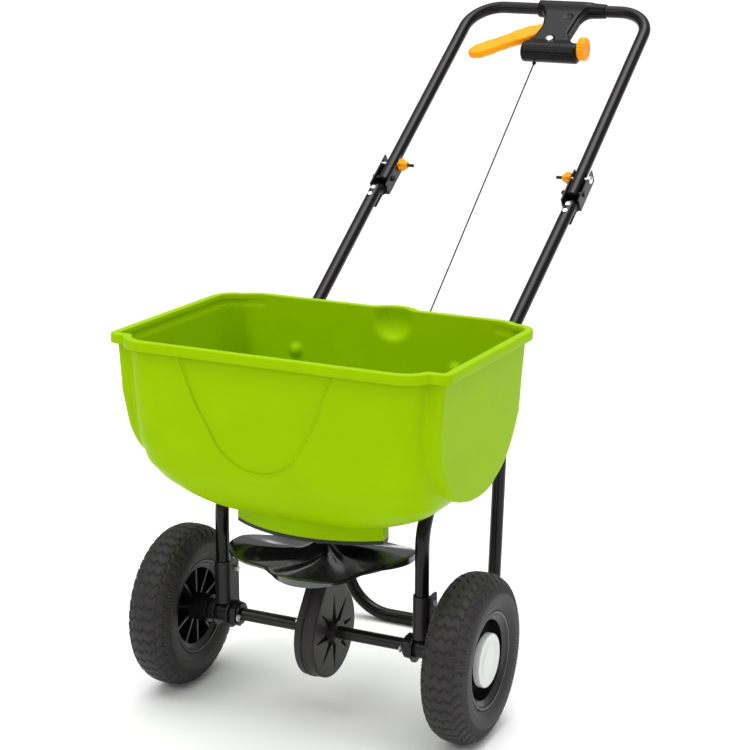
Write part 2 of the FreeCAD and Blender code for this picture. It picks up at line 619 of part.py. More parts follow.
def fold_bracket():
    """A channel open to the front round the handle's end, with a tongue behind the lower tube."""
    x0, x1 = CHANNEL[0] - SHEET, CHANNEL[1] + SHEET
    shape = box(x0, x1, CHANNEL_LOW, CHANNEL_END, -CHANNEL_BACK - SHEET, FLANGE_HIGH)
    shape = shape.cut(box(CHANNEL[0], CHANNEL[1], CHANNEL_LOW - 1, CHANNEL_END + 1, -CHANNEL_BACK, 20))
    shape = shape.fuse([box(LOWER_X - 9, LOWER_X + 9, TONGUE_END, CHANNEL_LOW, -10.2 - SHEET, -10.2),
                        box(LOWER_X - 9, LOWER_X + 9, CHANNEL_LOW - 3, CHANNEL_LOW + 3, -CHANNEL_BACK - SHEET, -10.2)])
    notch = box(x0 - 1, x1 + 1, LOCK_S - 5.5, LOCK_S + 3.3, 0, 20)
    return shape.cut([notch, cyl(3.3, 60, (x0 - 5, LOCK_S, 0), ACROSS), cyl(3, 60, (x0 - 5, 0, 0), ACROSS)])


bracket = place_handle(fold_bracket()).cut(rod(lower_path(1), TUBE_R))
pivot = place_handle(bolt(V(CHANNEL[1] + SHEET, 0, 0), V(-1, 0, 0), 3, 40, 5, 3, CHANNEL[1] - CHANNEL[0] + 2 * SHEET))
rivets = [place_handle(bolt(V(LOWER_X, s, 11.5), V(0, 0, -1), 2.5, 26, 4, 1.8)) for s in (-38.0, -54.0)]
add("fold_bracket_right", bracket.cut(list(rivets)))
add("fold_bracket_left", bracket.cut(list(rivets)).mirror(MID, ACROSS))
add("pivot_bolts", Part.makeCompound(both(pivot)))
add("bracket_rivets", Part.makeCompound([s for r in rivets for s in both(r)]))
for name, side in SIDES.items():
    for r in rivets:
        hole = r if side > 0 else r.mirror(MID, ACROSS)
        nodes["lower_tube_" + name] = nodes["lower_tube_" + name].cut(hole)

# ---------------------------------------------------------------- upper handle
BEND_R = 62.0
handle_points = [(-HANDLE_X, -8, 0), (-HANDLE_X, BAR_S, 0), (HANDLE_X, BAR_S, 0), (HANDLE_X, -8, 0)]
handle = tube(rounded_path(handle_points, [BEND_R, BEND_R]))
for side in (-1, 1):
    start = side * 150 if side > 0 else -210
    handle = handle.cut([cyl(3 + RUN, 60, (start, 0, 0), ACROSS), cyl(3, 60, (start, LOCK_S, 0), ACROSS)])
add("upper_handle", place_handle(handle))

lock_bolt = bolt(V(CHANNEL[1] + SHEET + 0.4, LOCK_S, 0), V(-1, 0, 0), 3, 62, 8, 3.5)
lock_bolt = lock_bolt.fuse(cyl(3.25, 30, (CHANNEL[0] - 1, LOCK_S, 0), ACROSS).common(lock_bolt))
add("lock_bolts", Part.makeCompound(both(place_handle(lock_bolt))))


def wing_knob():
    """Star knob on the lock bolt's inner end."""
    x0 = CHANNEL[0] - SHEET - 16.4
    parts = [cyl(9, 16, (x0, LOCK_S, 0), ACROSS)]
    for k in range(6):
        a = math.radians(60 * k)
        parts.append(cyl(3.5, 13, (x0 + 1.5, LOCK_S + 8.5 * math.cos(a), 8.5 * math.sin(a)), ACROSS))
    return union(parts).cut(cyl(3 + RUN, 30, (x0 - 5, LOCK_S, 0), ACROSS))


knob = place_handle(wing_knob())
add("wing_knob_right", knob)
add("wing_knob_left", knob.mirror(MID, ACROSS))

# ---------------------------------------------------------------- control box, in the handle's own frame
BLOCK_U = BAR_S - 123.0
SLEEVE = (-45.0, 88.0)
BLOCK = (-37.0, 71.0)
TRIGGER_AT = V(-4, BAR_S - 56.0, 0)


def control_box():
    """Clamp sleeve on the bar, a narrowing arm and a rounded block that holds the dial and the cable."""
    sleeve = cyl(16, SLEEVE[1] - SLEEVE[0], (SLEEVE[0], BAR_S, 0), ACROSS)
    outline = [(-40, BAR_S, -13), (60, BAR_S, -13), (42, BAR_S - 34, -13), (38, BAR_S - 80, -13), (62, BLOCK_U, -13),
               (-30, BLOCK_U, -13), (-30, BAR_S - 90, -13), (-18, BAR_S - 60, -13), (-22, BAR_S - 30, -13)]
    arm = prism(outline, V(0, 0, 26))
    block = cyl(19, BLOCK[1] - BLOCK[0], (BLOCK[0], BLOCK_U, 0), ACROSS)
    shape = union([sleeve, arm, block])
    shape = shape.cut(cyl(TUBE_R, 160, (-60, BAR_S, 0), ACROSS))
    recess = prism([(-60, BAR_S - 32, -8.5), (10, BAR_S - 42, -8.5), (10, BAR_S - 70, -8.5), (-60, BAR_S - 102, -8.5)],
                   V(0, 0, 17))
    shape = shape.cut(recess)
    shape = shape.cut([cyl(3, 40, (TRIGGER_AT.x, TRIGGER_AT.y, -20), UP), cyl(4, 40, (24, BAR_S - 30, -20), UP)])
    return shape.cut(cyl(5 + RUN, 30, (BLOCK[1] - 22, DIAL_AT.y, DIAL_AT.z), ACROSS))


DIAL_AT = V(BLOCK[1] + 0.5, BAR_S - 115, 5)
control = control_box()
control_bolts = []
for x, y in ((10.0, BAR_S - 99.0), (-31.0, BLOCK_U), (50.0, BLOCK_U - 2)):
    control = control.cut([cyl(2, 60, (x, y, -30), UP), cyl(4.5, 10, (x, y, 10), UP)])
    control_bolts.append(bolt(V(x, y, 10), V(0, 0, -1), 2, 20, 4.3, 2.5))
add("control_box_top", place_handle(control.common(box(-80, 120, 300, 520, 0, 40))))
add("control_box_bottom", place_handle(control.common(box(-80, 120, 300, 520, -40, 0))))
add("control_screws", place_handle(Part.makeCompound(control_bolts)))
coil = [Part.makeTorus(5, 0.6, TRIGGER_AT + UP * n, UP) for n in (-7.75, 7.75)]
legs = [cyl(0.6, 7, (TRIGGER_AT.x - 2, TRIGGER_AT.y + 5, n), V(0.4, 1, 0)) for n in (-7.75, 7.75)]
add("trigger_spring", place_handle(Part.makeCompound([a.fuse(b) for a, b in zip(coil, legs)])))
add("trigger_pin", place_handle(cyl(3, 25, (TRIGGER_AT.x, TRIGGER_AT.y, -12.5), UP)))


def trigger():
    """Bowed finger lever that swings about its pin towards the bar."""
    def at(x, u):
        return V(x, BAR_S - u, -7)
    upper = Part.BSplineCurve()
    upper.interpolate([at(-8, 47), at(-36, 54), at(-62, 72), at(-92, 90), at(-122, 112), at(-139, 127)])
    lower = Part.BSplineCurve()
    lower.interpolate([at(-133, 143), at(-112, 139), at(-88, 116), at(-60, 98), at(-36, 84), at(-8, 65)])
    tip = Part.Arc(at(-139, 127), at(-142, 138), at(-133, 143)).toShape()
    root = Part.LineSegment(at(-8, 65), at(-8, 47)).toShape()
    lever = Part.Face(Part.Wire([upper.toShape(), tip, lower.toShape(), root])).extrude(V(0, 0, 14))
    lever = lever.fuse(cyl(10, 14, (TRIGGER_AT.x, TRIGGER_AT.y, -7), UP))
    return lever.cut(cyl(3 + RUN, 30, (TRIGGER_AT.x, TRIGGER_AT.y, -15), UP))


add("trigger", place_handle(trigger()))


def dial():
    parts = [cyl(19, 15, (DIAL_AT.x, DIAL_AT.y, DIAL_AT.z), ACROSS), cyl(5, 22, (DIAL_AT.x - 20, DIAL_AT.y, DIAL_AT.z), ACROSS)]
    for k in range(10):
        a = math.radians(36 * k)
        parts.append(cyl(4, 13, (DIAL_AT.x + 1, DIAL_AT.y + 18 * math.cos(a), DIAL_AT.z + 18 * math.sin(a)), ACROSS))
    return union(parts)


add("flow_dial", place_handle(dial()))

# ---------------------------------------------------------------- control cable
cable_run = CABLE_HIGH - CABLE_LOW
along = V(cable_run).normalize()
add("control_cable", Part.makeCylinder(1.4, cable_run.Length, CABLE_LOW, cable_run))
add("cable_ferrule", Part.makeCone(3.2, 5.0, 14, CABLE_HIGH + along * 0.2, along).cut(place_handle(control)))

os.makedirs("parts", exist_ok=True)
for name, shape in nodes.items():
    shape = shape.copy()
    shape.translate(V(0, -ORIGIN_Y, 0))
    solids = shape.Solids
    shape = solids[0] if len(solids) == 1 else Part.makeCompound(solids)
    shape.exportStep("parts/" + name + ".step")
    print(name, len(solids), round(shape.Volume), shape.isValid())
print("origin Y", ORIGIN_Y, "nodes", len(nodes))
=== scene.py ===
import json
import math

import bpy
import numpy as np
from mathutils import Vector
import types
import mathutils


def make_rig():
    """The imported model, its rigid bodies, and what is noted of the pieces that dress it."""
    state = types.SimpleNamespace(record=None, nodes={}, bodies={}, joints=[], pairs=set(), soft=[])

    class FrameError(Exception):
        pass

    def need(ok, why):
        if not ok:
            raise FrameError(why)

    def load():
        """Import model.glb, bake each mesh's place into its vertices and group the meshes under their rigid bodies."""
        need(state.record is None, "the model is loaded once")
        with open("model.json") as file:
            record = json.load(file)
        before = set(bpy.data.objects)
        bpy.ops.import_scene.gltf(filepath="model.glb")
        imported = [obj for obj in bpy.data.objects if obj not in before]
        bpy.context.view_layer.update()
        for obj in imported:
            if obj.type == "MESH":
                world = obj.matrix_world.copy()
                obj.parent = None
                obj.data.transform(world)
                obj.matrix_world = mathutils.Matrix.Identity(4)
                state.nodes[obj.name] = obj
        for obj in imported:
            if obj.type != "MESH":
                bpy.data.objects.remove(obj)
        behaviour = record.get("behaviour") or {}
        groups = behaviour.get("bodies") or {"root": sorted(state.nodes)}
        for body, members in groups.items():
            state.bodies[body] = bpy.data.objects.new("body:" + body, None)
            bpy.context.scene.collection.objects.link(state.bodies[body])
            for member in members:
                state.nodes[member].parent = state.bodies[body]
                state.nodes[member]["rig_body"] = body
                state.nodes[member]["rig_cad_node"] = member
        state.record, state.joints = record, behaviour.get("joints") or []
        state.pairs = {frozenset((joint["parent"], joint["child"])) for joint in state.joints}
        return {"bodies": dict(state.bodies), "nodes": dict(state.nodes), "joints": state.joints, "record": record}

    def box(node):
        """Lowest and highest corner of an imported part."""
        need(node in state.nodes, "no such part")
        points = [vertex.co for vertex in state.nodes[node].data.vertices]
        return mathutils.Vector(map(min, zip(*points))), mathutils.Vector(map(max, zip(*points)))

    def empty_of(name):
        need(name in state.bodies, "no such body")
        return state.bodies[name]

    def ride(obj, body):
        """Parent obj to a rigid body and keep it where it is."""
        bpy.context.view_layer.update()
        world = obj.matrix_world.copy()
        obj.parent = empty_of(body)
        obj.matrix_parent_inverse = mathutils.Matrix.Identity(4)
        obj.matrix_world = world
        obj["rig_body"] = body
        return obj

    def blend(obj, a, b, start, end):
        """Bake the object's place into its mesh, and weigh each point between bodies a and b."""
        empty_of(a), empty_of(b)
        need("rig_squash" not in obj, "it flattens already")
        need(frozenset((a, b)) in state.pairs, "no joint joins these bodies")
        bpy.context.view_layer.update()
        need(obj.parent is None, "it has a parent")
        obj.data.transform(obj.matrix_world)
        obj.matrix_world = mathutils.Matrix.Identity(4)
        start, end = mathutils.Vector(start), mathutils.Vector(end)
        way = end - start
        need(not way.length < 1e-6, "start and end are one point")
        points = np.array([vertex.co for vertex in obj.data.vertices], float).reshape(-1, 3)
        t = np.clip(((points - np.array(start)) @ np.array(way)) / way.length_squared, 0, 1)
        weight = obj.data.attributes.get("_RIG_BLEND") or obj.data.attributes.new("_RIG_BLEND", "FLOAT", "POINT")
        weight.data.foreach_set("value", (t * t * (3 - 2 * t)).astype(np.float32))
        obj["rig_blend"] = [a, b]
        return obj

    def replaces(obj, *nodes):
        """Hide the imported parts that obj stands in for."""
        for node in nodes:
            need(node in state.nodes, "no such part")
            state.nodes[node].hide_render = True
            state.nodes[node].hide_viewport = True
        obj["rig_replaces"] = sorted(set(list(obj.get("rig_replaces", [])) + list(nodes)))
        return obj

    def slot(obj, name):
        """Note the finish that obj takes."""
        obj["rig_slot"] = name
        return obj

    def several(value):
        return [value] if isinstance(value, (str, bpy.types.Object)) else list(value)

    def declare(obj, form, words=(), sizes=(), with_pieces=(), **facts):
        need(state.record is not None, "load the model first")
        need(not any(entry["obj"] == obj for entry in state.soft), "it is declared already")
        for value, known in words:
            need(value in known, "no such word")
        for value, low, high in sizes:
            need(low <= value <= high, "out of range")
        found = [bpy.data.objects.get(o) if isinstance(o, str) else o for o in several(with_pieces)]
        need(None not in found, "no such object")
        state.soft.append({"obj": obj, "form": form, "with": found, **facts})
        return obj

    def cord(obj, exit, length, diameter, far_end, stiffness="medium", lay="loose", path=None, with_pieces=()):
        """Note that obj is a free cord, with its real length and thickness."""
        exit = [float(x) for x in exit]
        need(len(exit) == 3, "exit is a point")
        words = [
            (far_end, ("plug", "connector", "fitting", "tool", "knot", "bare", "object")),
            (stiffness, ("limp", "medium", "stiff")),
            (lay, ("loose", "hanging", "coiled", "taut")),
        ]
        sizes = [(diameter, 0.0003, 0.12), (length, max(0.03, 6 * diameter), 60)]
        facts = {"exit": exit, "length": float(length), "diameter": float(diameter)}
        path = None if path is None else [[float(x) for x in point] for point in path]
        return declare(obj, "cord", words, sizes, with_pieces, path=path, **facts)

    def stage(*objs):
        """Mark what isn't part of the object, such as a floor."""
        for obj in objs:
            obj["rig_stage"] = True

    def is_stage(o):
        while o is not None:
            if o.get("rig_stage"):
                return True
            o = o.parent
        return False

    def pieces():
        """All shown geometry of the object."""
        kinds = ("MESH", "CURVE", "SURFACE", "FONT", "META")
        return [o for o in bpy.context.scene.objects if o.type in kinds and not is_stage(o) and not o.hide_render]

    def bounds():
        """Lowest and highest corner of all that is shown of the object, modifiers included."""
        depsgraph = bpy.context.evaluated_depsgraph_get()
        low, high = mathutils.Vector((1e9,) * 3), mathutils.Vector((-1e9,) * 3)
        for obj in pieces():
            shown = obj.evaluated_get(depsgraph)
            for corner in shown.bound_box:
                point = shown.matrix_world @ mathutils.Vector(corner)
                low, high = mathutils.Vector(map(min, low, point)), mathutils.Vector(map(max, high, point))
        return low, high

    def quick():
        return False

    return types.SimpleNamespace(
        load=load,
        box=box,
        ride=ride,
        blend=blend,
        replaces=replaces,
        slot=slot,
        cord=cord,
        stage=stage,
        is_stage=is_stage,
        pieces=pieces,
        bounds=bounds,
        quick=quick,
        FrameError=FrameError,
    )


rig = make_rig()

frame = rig.load()
cad_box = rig.bounds()

# Shapes are written in millimetres from the point on the ground under the axle's middle, X along the axle,
# +Y back to the handle, +Z up, and moved into the row frame by row().
MM = 0.001
axle_low, axle_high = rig.box("axle")
AXLE_Y = (axle_low.y + axle_high.y) / 2
AXLE_Z = (axle_low.z + axle_high.z) / 2 / MM
tyre_low, tyre_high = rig.box("tyre_right")
WHEEL_X = (tyre_high.x + tyre_low.x) / 2 / MM

HOPPER_TOP = 607.0
LEAN = math.radians(1.5)          # the hopper's rim stands higher at the front
LEAN_Y = 24.0
WALL = 3.0
NECK_Z = 310.0
NECK_HALF = 124.0
SPINNER_R = 146.0
SPINNER_TURN = math.radians(17)
LEG_X = 172.0
PIVOT = np.array([0, 598.0, 731.5])
HANDLE_ANGLE = math.radians(33.66)
BAR_S = 483.0                     # from the fold pivot up the handle to the bar
LOCK_S = 36.0


# ---------------------------------------------------------------- places and meshes
def row(points):
    points = np.asarray(points, float) * MM
    points[..., 1] += AXLE_Y
    return points


def from_handle(points):
    """From the handle's own frame (x, up the handle from its pivot, out of its plane) to the machine's."""
    points = np.asarray(points, float)
    c, s = math.cos(HANDLE_ANGLE), math.sin(HANDLE_ANGLE)
    x, t, n = points[..., 0], points[..., 1], points[..., 2]
    return np.stack([x, t * c - n * s, t * s + n * c], axis=-1) + PIVOT


def lean(points):
    """From the level hopper to the leaning one."""
    x, y, z = points[..., 0], points[..., 1] - LEAN_Y, points[..., 2] - HOPPER_TOP
    c, s = math.cos(LEAN), math.sin(LEAN)
    return np.stack([x, LEAN_Y + y * c + z * s, HOPPER_TOP - y * s + z * c], axis=-1)


def piece(name, parts, body, slot, replaces=(), sharp=35):
    """One object from (points in mm, faces) parts, riding on a body and finished as a material slot."""
    points, faces, start = [], [], 0
    for part_points, part_faces in parts:
        points.append(np.asarray(part_points, float))
        faces += [tuple(i + start for i in face) for face in np.asarray(part_faces, object).tolist()]
        start += len(part_points)
    mesh = bpy.data.meshes.new(name)
    mesh.from_pydata(row(np.concatenate(points)).tolist(), [], faces)
    mesh.validate()
    mesh.shade_smooth()
    mesh.set_sharp_from_angle(angle=math.radians(sharp))
    obj = bpy.data.objects.new(name, mesh)
    bpy.context.scene.collection.objects.link(obj)
    obj.data.materials.append(finishes[slot])
    if body:
        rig.ride(obj, body)
    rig.slot(obj, slot)
    for node in replaces:
        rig.replaces(obj, node)
    return obj


def grid_faces(rows, columns, wrap=True, flip=False):
    """Quads of a grid of points stored row by row, its columns closed into a loop if asked."""
    last = columns if wrap else columns - 1
    i, j = np.meshgrid(np.arange(rows - 1), np.arange(last), indexing="ij")
    k = (j + 1) % columns
    quads = np.stack([i * columns + j, i * columns + k, (i + 1) * columns + k, (i + 1) * columns + j], axis=-1)
    quads = quads.reshape(-1, 4)
    return quads[:, ::-1] if flip else quads


def lathe(profile, around=64, flutes=0, depth=0.0, low=0.0, high=1e9):
    """A turned shape about the X axis from (along, radius) pairs; flutes scallop it where low < along < high."""
    profile = np.asarray(profile, float)
    angle = np.linspace(0, 2 * math.pi, around, endpoint=False)
    points = []
    for along, r in profile:
        wave = depth * (0.5 - 0.5 * np.cos(flutes * angle)) if flutes and low < along < high else 0.0
        reach = r - wave
        points.append(np.stack([np.full(around, along), reach * np.cos(angle), reach * np.sin(angle)], axis=-1))
    return np.concatenate(points), grid_faces(len(profile), around)


# ---------------------------------------------------------------- smooth solids as distance fields
def blend_min(a, b, k):
    h = np.clip(0.5 + 0.5 * (b - a) / k, 0, 1)
    return b + (a - b) * h - k * h * (1 - h)


def blend_max(a, b, k):
    return -blend_min(-a, -b, k)


def round_both(a, b, r):
    """Where both are inside, with the shared edge rounded to r."""
    return np.minimum(np.maximum(a, b) + r, 0) + np.hypot(np.maximum(a + r, 0), np.maximum(b + r, 0)) - r


def block(x, y, z, centre, half, r):
    q = [np.abs(v - c) - (h - r) for v, c, h in zip((x, y, z), centre, half)]
    outside = np.sqrt(sum(np.maximum(v, 0) ** 2 for v in q))
    return outside + np.minimum(np.maximum(np.maximum(q[0], q[1]), q[2]), 0) - r


def outline_distance(px, py, loop):
    """Signed distance to a closed flat outline, negative inside."""
    shape = np.broadcast(px, py).shape
    best, inside = np.full(shape, 1e12), np.zeros(shape, bool)
    loop = np.asarray(loop, float)
    for (ax, ay), (bx, by) in zip(loop, np.roll(loop, -1, axis=0)):
        ex, ey = bx - ax, by - ay
        t = np.clip(((px - ax) * ex + (py - ay) * ey) / (ex * ex + ey * ey), 0, 1)
        best = np.minimum(best, (px - ax - t * ex) ** 2 + (py - ay - t * ey) ** 2)
        rise = ey if abs(ey) > 1e-9 else 1e-9
        inside ^= ((ay > py) != (by > py)) & (px < ex * (py - ay) / rise + ax)
    return np.where(inside, -1.0, 1.0) * np.sqrt(best)


def arc(p, q, r, count=12):
    """Points of the circle through three points, without the last one."""
    (ax, ay), (bx, by), (cx, cy) = p, q, r
    d = 2 * (ax * (by - cy) + bx * (cy - ay) + cx * (ay - by))
    ux = ((ax**2 + ay**2) * (by - cy) + (bx**2 + by**2) * (cy - ay) + (cx**2 + cy**2) * (ay - by)) / d
    uy = ((ax**2 + ay**2) * (cx - bx) + (bx**2 + by**2) * (ax - cx) + (cx**2 + cy**2) * (bx - ax)) / d
    start, middle, end = (math.atan2(y - uy, x - ux) for x, y in (p, q, r))
    turn = (end - start) % (2 * math.pi)
    if (middle - start) % (2 * math.pi) > turn:
        turn -= 2 * math.pi
    radius = math.hypot(ax - ux, ay - uy)
    return [(ux + radius * math.cos(start + turn * i / count), uy + radius * math.sin(start + turn * i / count))
            for i in range(count)]


def skin(field, low, high, step, inward=False):
    """A quad mesh of a field's zero surface, open where the box cuts it."""
    counts = [max(2, int(math.ceil((h - l) / step)) + 1) for l, h in zip(low, high)]
    axes = [np.linspace(l, h, n) for l, h, n in zip(low, high, counts)]
    x, y, z = axes[0][:, None, None], axes[1][None, :, None], axes[2][None, None, :]
    inside = np.broadcast_to(field(x, y, z), counts) < 0
    total = sum(inside[i:counts[0] - 1 + i, j:counts[1] - 1 + j, k:counts[2] - 1 + k].astype(np.int8)
                for i in (0, 1) for j in (0, 1) for k in (0, 1))
    active = (total > 0) & (total < 8)
    index = np.full(active.shape, -1)
    index[active] = np.arange(active.sum())
    cells = np.argwhere(active)
    centres = np.stack([(axes[a][cells[:, a]] + axes[a][cells[:, a] + 1]) / 2 for a in range(3)], axis=-1)
    faces = []
    for a in range(3):
        b, c = (a + 1) % 3, (a + 2) % 3
        moved = np.moveaxis(inside, (a, b, c), (0, 1, 2))
        cell = np.moveaxis(index, (a, b, c), (0, 1, 2))
        first, second = moved[:-1, 1:-1, 1:-1], moved[1:, 1:-1, 1:-1]
        quad = np.stack([cell[:, :-1, :-1], cell[:, 1:, :-1], cell[:, 1:, 1:], cell[:, :-1, 1:]], axis=-1)
        faces.append(quad[first & ~second])
        faces.append(quad[~first & second][:, ::-1])
    faces = np.concatenate(faces)
    points = centres
    e = 0.05
    for _ in range(5):
        value = field(*points.T)
        slope = np.stack([(field(*(points + d).T) - field(*(points - d).T)) / (2 * e) for d in np.eye(3) * e], axis=-1)
        size = np.maximum((slope**2).sum(1), 0.05)
        move = -value[:, None] * slope / size[:, None]
        length = np.linalg.norm(move, axis=1, keepdims=True)
        points = points + move * np.minimum(1, step / np.maximum(length, 1e-9))
    off = points - centres
    length = np.linalg.norm(off, axis=1, keepdims=True)
    points = centres + off * np.minimum(1, 1.5 * step / np.maximum(length, 1e-9))
    return points, faces[:, ::-1] if inward else faces


# ---------------------------------------------------------------- materials
def finish(name, colour, roughness, metallic=0.0, coat=0.0, mottle=0.06, grain=60.0, bump=0.0, bump_grain=600.0,
           rough_spread=0.06, coat_roughness=0.15, sheen=0.0, shine=0.5, index=1.5):
    """A solid finish whose colour, gloss and surface vary a little with procedural noise."""
    mat = bpy.data.materials.new(name)
    mat.use_nodes = True
    tree = mat.node_tree
    shader = tree.nodes["Principled BSDF"]
    shader.inputs["Metallic"].default_value = metallic
    shader.inputs["Coat Weight"].default_value = coat
    shader.inputs["Coat Roughness"].default_value = coat_roughness
    shader.inputs["Sheen Weight"].default_value = sheen
    shader.inputs["Specular IOR Level"].default_value = shine
    shader.inputs["IOR"].default_value = index
    place = tree.nodes.new("ShaderNodeTexCoord")
    noise = tree.nodes.new("ShaderNodeTexNoise")
    noise.inputs["Scale"].default_value = grain
    noise.inputs["Detail"].default_value = 6
    tree.links.new(place.outputs["Object"], noise.inputs["Vector"])
    ramp = tree.nodes.new("ShaderNodeValToRGB")
    ramp.color_ramp.elements[0].position = 0.3
    ramp.color_ramp.elements[1].position = 0.7
    for element, change in zip(ramp.color_ramp.elements, (1 - mottle, 1 + mottle)):
        element.color = tuple(min(1.0, c * change) for c in colour) + (1,)
    tree.links.new(noise.outputs["Fac"], ramp.inputs["Fac"])
    tree.links.new(ramp.outputs["Color"], shader.inputs["Base Color"])
    rough = tree.nodes.new("ShaderNodeMapRange")
    rough.inputs["To Min"].default_value = max(0.02, roughness - rough_spread)
    rough.inputs["To Max"].default_value = min(1.0, roughness + rough_spread)
    tree.links.new(noise.outputs["Fac"], rough.inputs["Value"])
    tree.links.new(rough.outputs["Result"], shader.inputs["Roughness"])
    if bump:
        fine = tree.nodes.new("ShaderNodeTexNoise")
        fine.inputs["Scale"].default_value = bump_grain
        fine.inputs["Detail"].default_value = 3
        tree.links.new(place.outputs["Object"], fine.inputs["Vector"])
        relief = tree.nodes.new("ShaderNodeBump")
        relief.inputs["Strength"].default_value = bump
        relief.inputs["Distance"].default_value = 0.0006
        tree.links.new(fine.outputs["Fac"], relief.inputs["Height"])
        tree.links.new(relief.outputs["Normal"], shader.inputs["Normal"])
    return mat


finishes = {
    "tube_black": finish("tube_black", (0.005, 0.004, 0.004), 0.2, shine=0.2, bump=0.1, bump_grain=900),
    "hopper_green": finish("hopper_green", (0.27, 0.465, 0.0), 0.34, mottle=0.025, grain=14, bump=0.06,
                           bump_grain=1400, shine=0.02),
    "shutter_black": finish("shutter_black", (0.01, 0.01, 0.011), 0.4, bump=0.2, shine=0.26),
    "shutter_steel": finish("shutter_steel", (0.3, 0.31, 0.32), 0.34, metallic=1.0, bump=0.1),
    "zinc": finish("zinc", (0.72, 0.72, 0.71), 0.38, metallic=1.0, mottle=0.12, grain=180, bump=0.1),
    "steel_bright": finish("steel_bright", (0.5, 0.5, 0.5), 0.25, metallic=1.0, mottle=0.08, grain=200),
    "impeller_grey": finish("impeller_grey", (0.012, 0.012, 0.013), 0.15, mottle=0.1, grain=30, bump=0.08,
                            bump_grain=300, shine=0.55, index=1.75),
    "case_grey": finish("case_grey", (0.02, 0.018, 0.018), 0.45, mottle=0.14, grain=40, bump=0.3, bump_grain=700,
                        shine=0.28),
    "bush_nylon": finish("bush_nylon", (0.6, 0.58, 0.5), 0.45, bump=0.1),
    "gear_nylon": finish("gear_nylon", (0.68, 0.66, 0.58), 0.42, bump=0.1),
    "bushing_black": finish("bushing_black", (0.01, 0.009, 0.01), 0.34, bump=0.2, shine=0.28),
    "bracket_dark": finish("bracket_dark", (0.012, 0.01, 0.012), 0.36, mottle=0.14, bump=0.2, bump_grain=800,
                           shine=0.28),
    "axle_dark": finish("axle_dark", (0.009, 0.008, 0.008), 0.28, bump=0.03, shine=0.32),
    "tyre_rubber": finish("tyre_rubber", (0.02, 0.018, 0.019), 0.55, mottle=0.24, grain=70, bump=0.5, bump_grain=500,
                          shine=0.3),
    "rim_black": finish("rim_black", (0.008, 0.007, 0.008), 0.3, mottle=0.12, bump=0.12, shine=0.4),
    "cap_grey": finish("cap_grey", (0.64, 0.67, 0.65), 0.34, mottle=0.04, grain=20, bump=0.1),
    "valve_rubber": finish("valve_rubber", (0.014, 0.013, 0.013), 0.6, bump=0.3),
    "control_black": finish("control_black", (0.004, 0.0035, 0.004), 0.2, bump=0.06, bump_grain=1200, shine=0.14),
    "orange": finish("orange", (0.98, 0.33, 0.0), 0.34, mottle=0.05, grain=30, bump=0.08, shine=0.12),
    "cable_black": finish("cable_black", (0.01, 0.01, 0.011), 0.38, bump=0.15, shine=0.35),
}
for part in frame["record"]["subparts"]:
    node = frame["nodes"][part["node"]]
    node.data.materials.clear()
    node.data.materials.append(finishes[part["material_slot"]])
    node.data.shade_smooth()
    node.data.set_sharp_from_angle(angle=math.radians(30))

# ---------------------------------------------------------------- hopper
# The bin's half width, its reach to front and rear, and its corner radius at each height.
LEVELS = np.array([337, 348, 364, 385, 412, 450, 520, HOPPER_TOP, 640])
HALF = np.array([150, 184, 208, 228, 238, 240, 241, 242, 243])
FRONT = np.array([86, 108, 126, 142, 156, 165, 171, 175, 176])
REAR = np.array([92, 114, 134, 152, 168, 180, 190, 200, 202])
CORNER = np.array([85, 95, 95, 85, 68, 54, 45, 40, 40])
POD_FRONT, POD_REAR = 146.0, 184.0
fine_z = np.arange(330, 640, 0.5)
soften = np.hanning(41) / np.hanning(41).sum()


def wall_curve(column):
    """A wall's reach by height, its corners eased."""
    values = np.interp(fine_z, LEVELS, column)
    padded = np.pad(values, 20, mode="edge")
    return np.convolve(padded, soften, mode="valid")


half_curve, front_curve, rear_curve, corner_curve = map(wall_curve, (HALF, FRONT, REAR, CORNER))
flare = 1 / np.hypot(1, np.gradient(half_curve, fine_z))
pod_side = ([(-POD_FRONT, 700), (-POD_FRONT, 520)] + arc((-134, 468), (-94, 414), (-37, 388))
            + arc((-37, 388), (23, 380), (83, 390)) + arc((83, 390), (150, 421), (186, 476))
            + [(186, 476), (POD_REAR, HOPPER_TOP), (POD_REAR, 700)])
PANEL = ([(-168, 700), (-139, 582), (-120, 526)] + arc((-92, 474), (-22, 424), (40, 452), 12)
         + [(40, 452), (72, 505), (102, 576), (140, 700)])
BULGE = (28.0, 181.0, 592.0)
BULGE_R = 37.0
TUBE_SLOPE = 0.6475
BOLT = (140.0, 188.0, 523.0)      # of the two bolts through the rear wall, the one at +X
BOLT_DOME_R = 10.5


def channel_field(x, y, z):
    """The room that the frame's tubes take out of the hopper's underside."""
    across = np.abs(x) - (LEG_X + 0.0172 * (y + 8))
    above = (z - (716 - TUBE_SLOPE * (573 - y))) * 0.84
    return np.where(above > 0, np.hypot(across, above), np.abs(across)) - 12.5


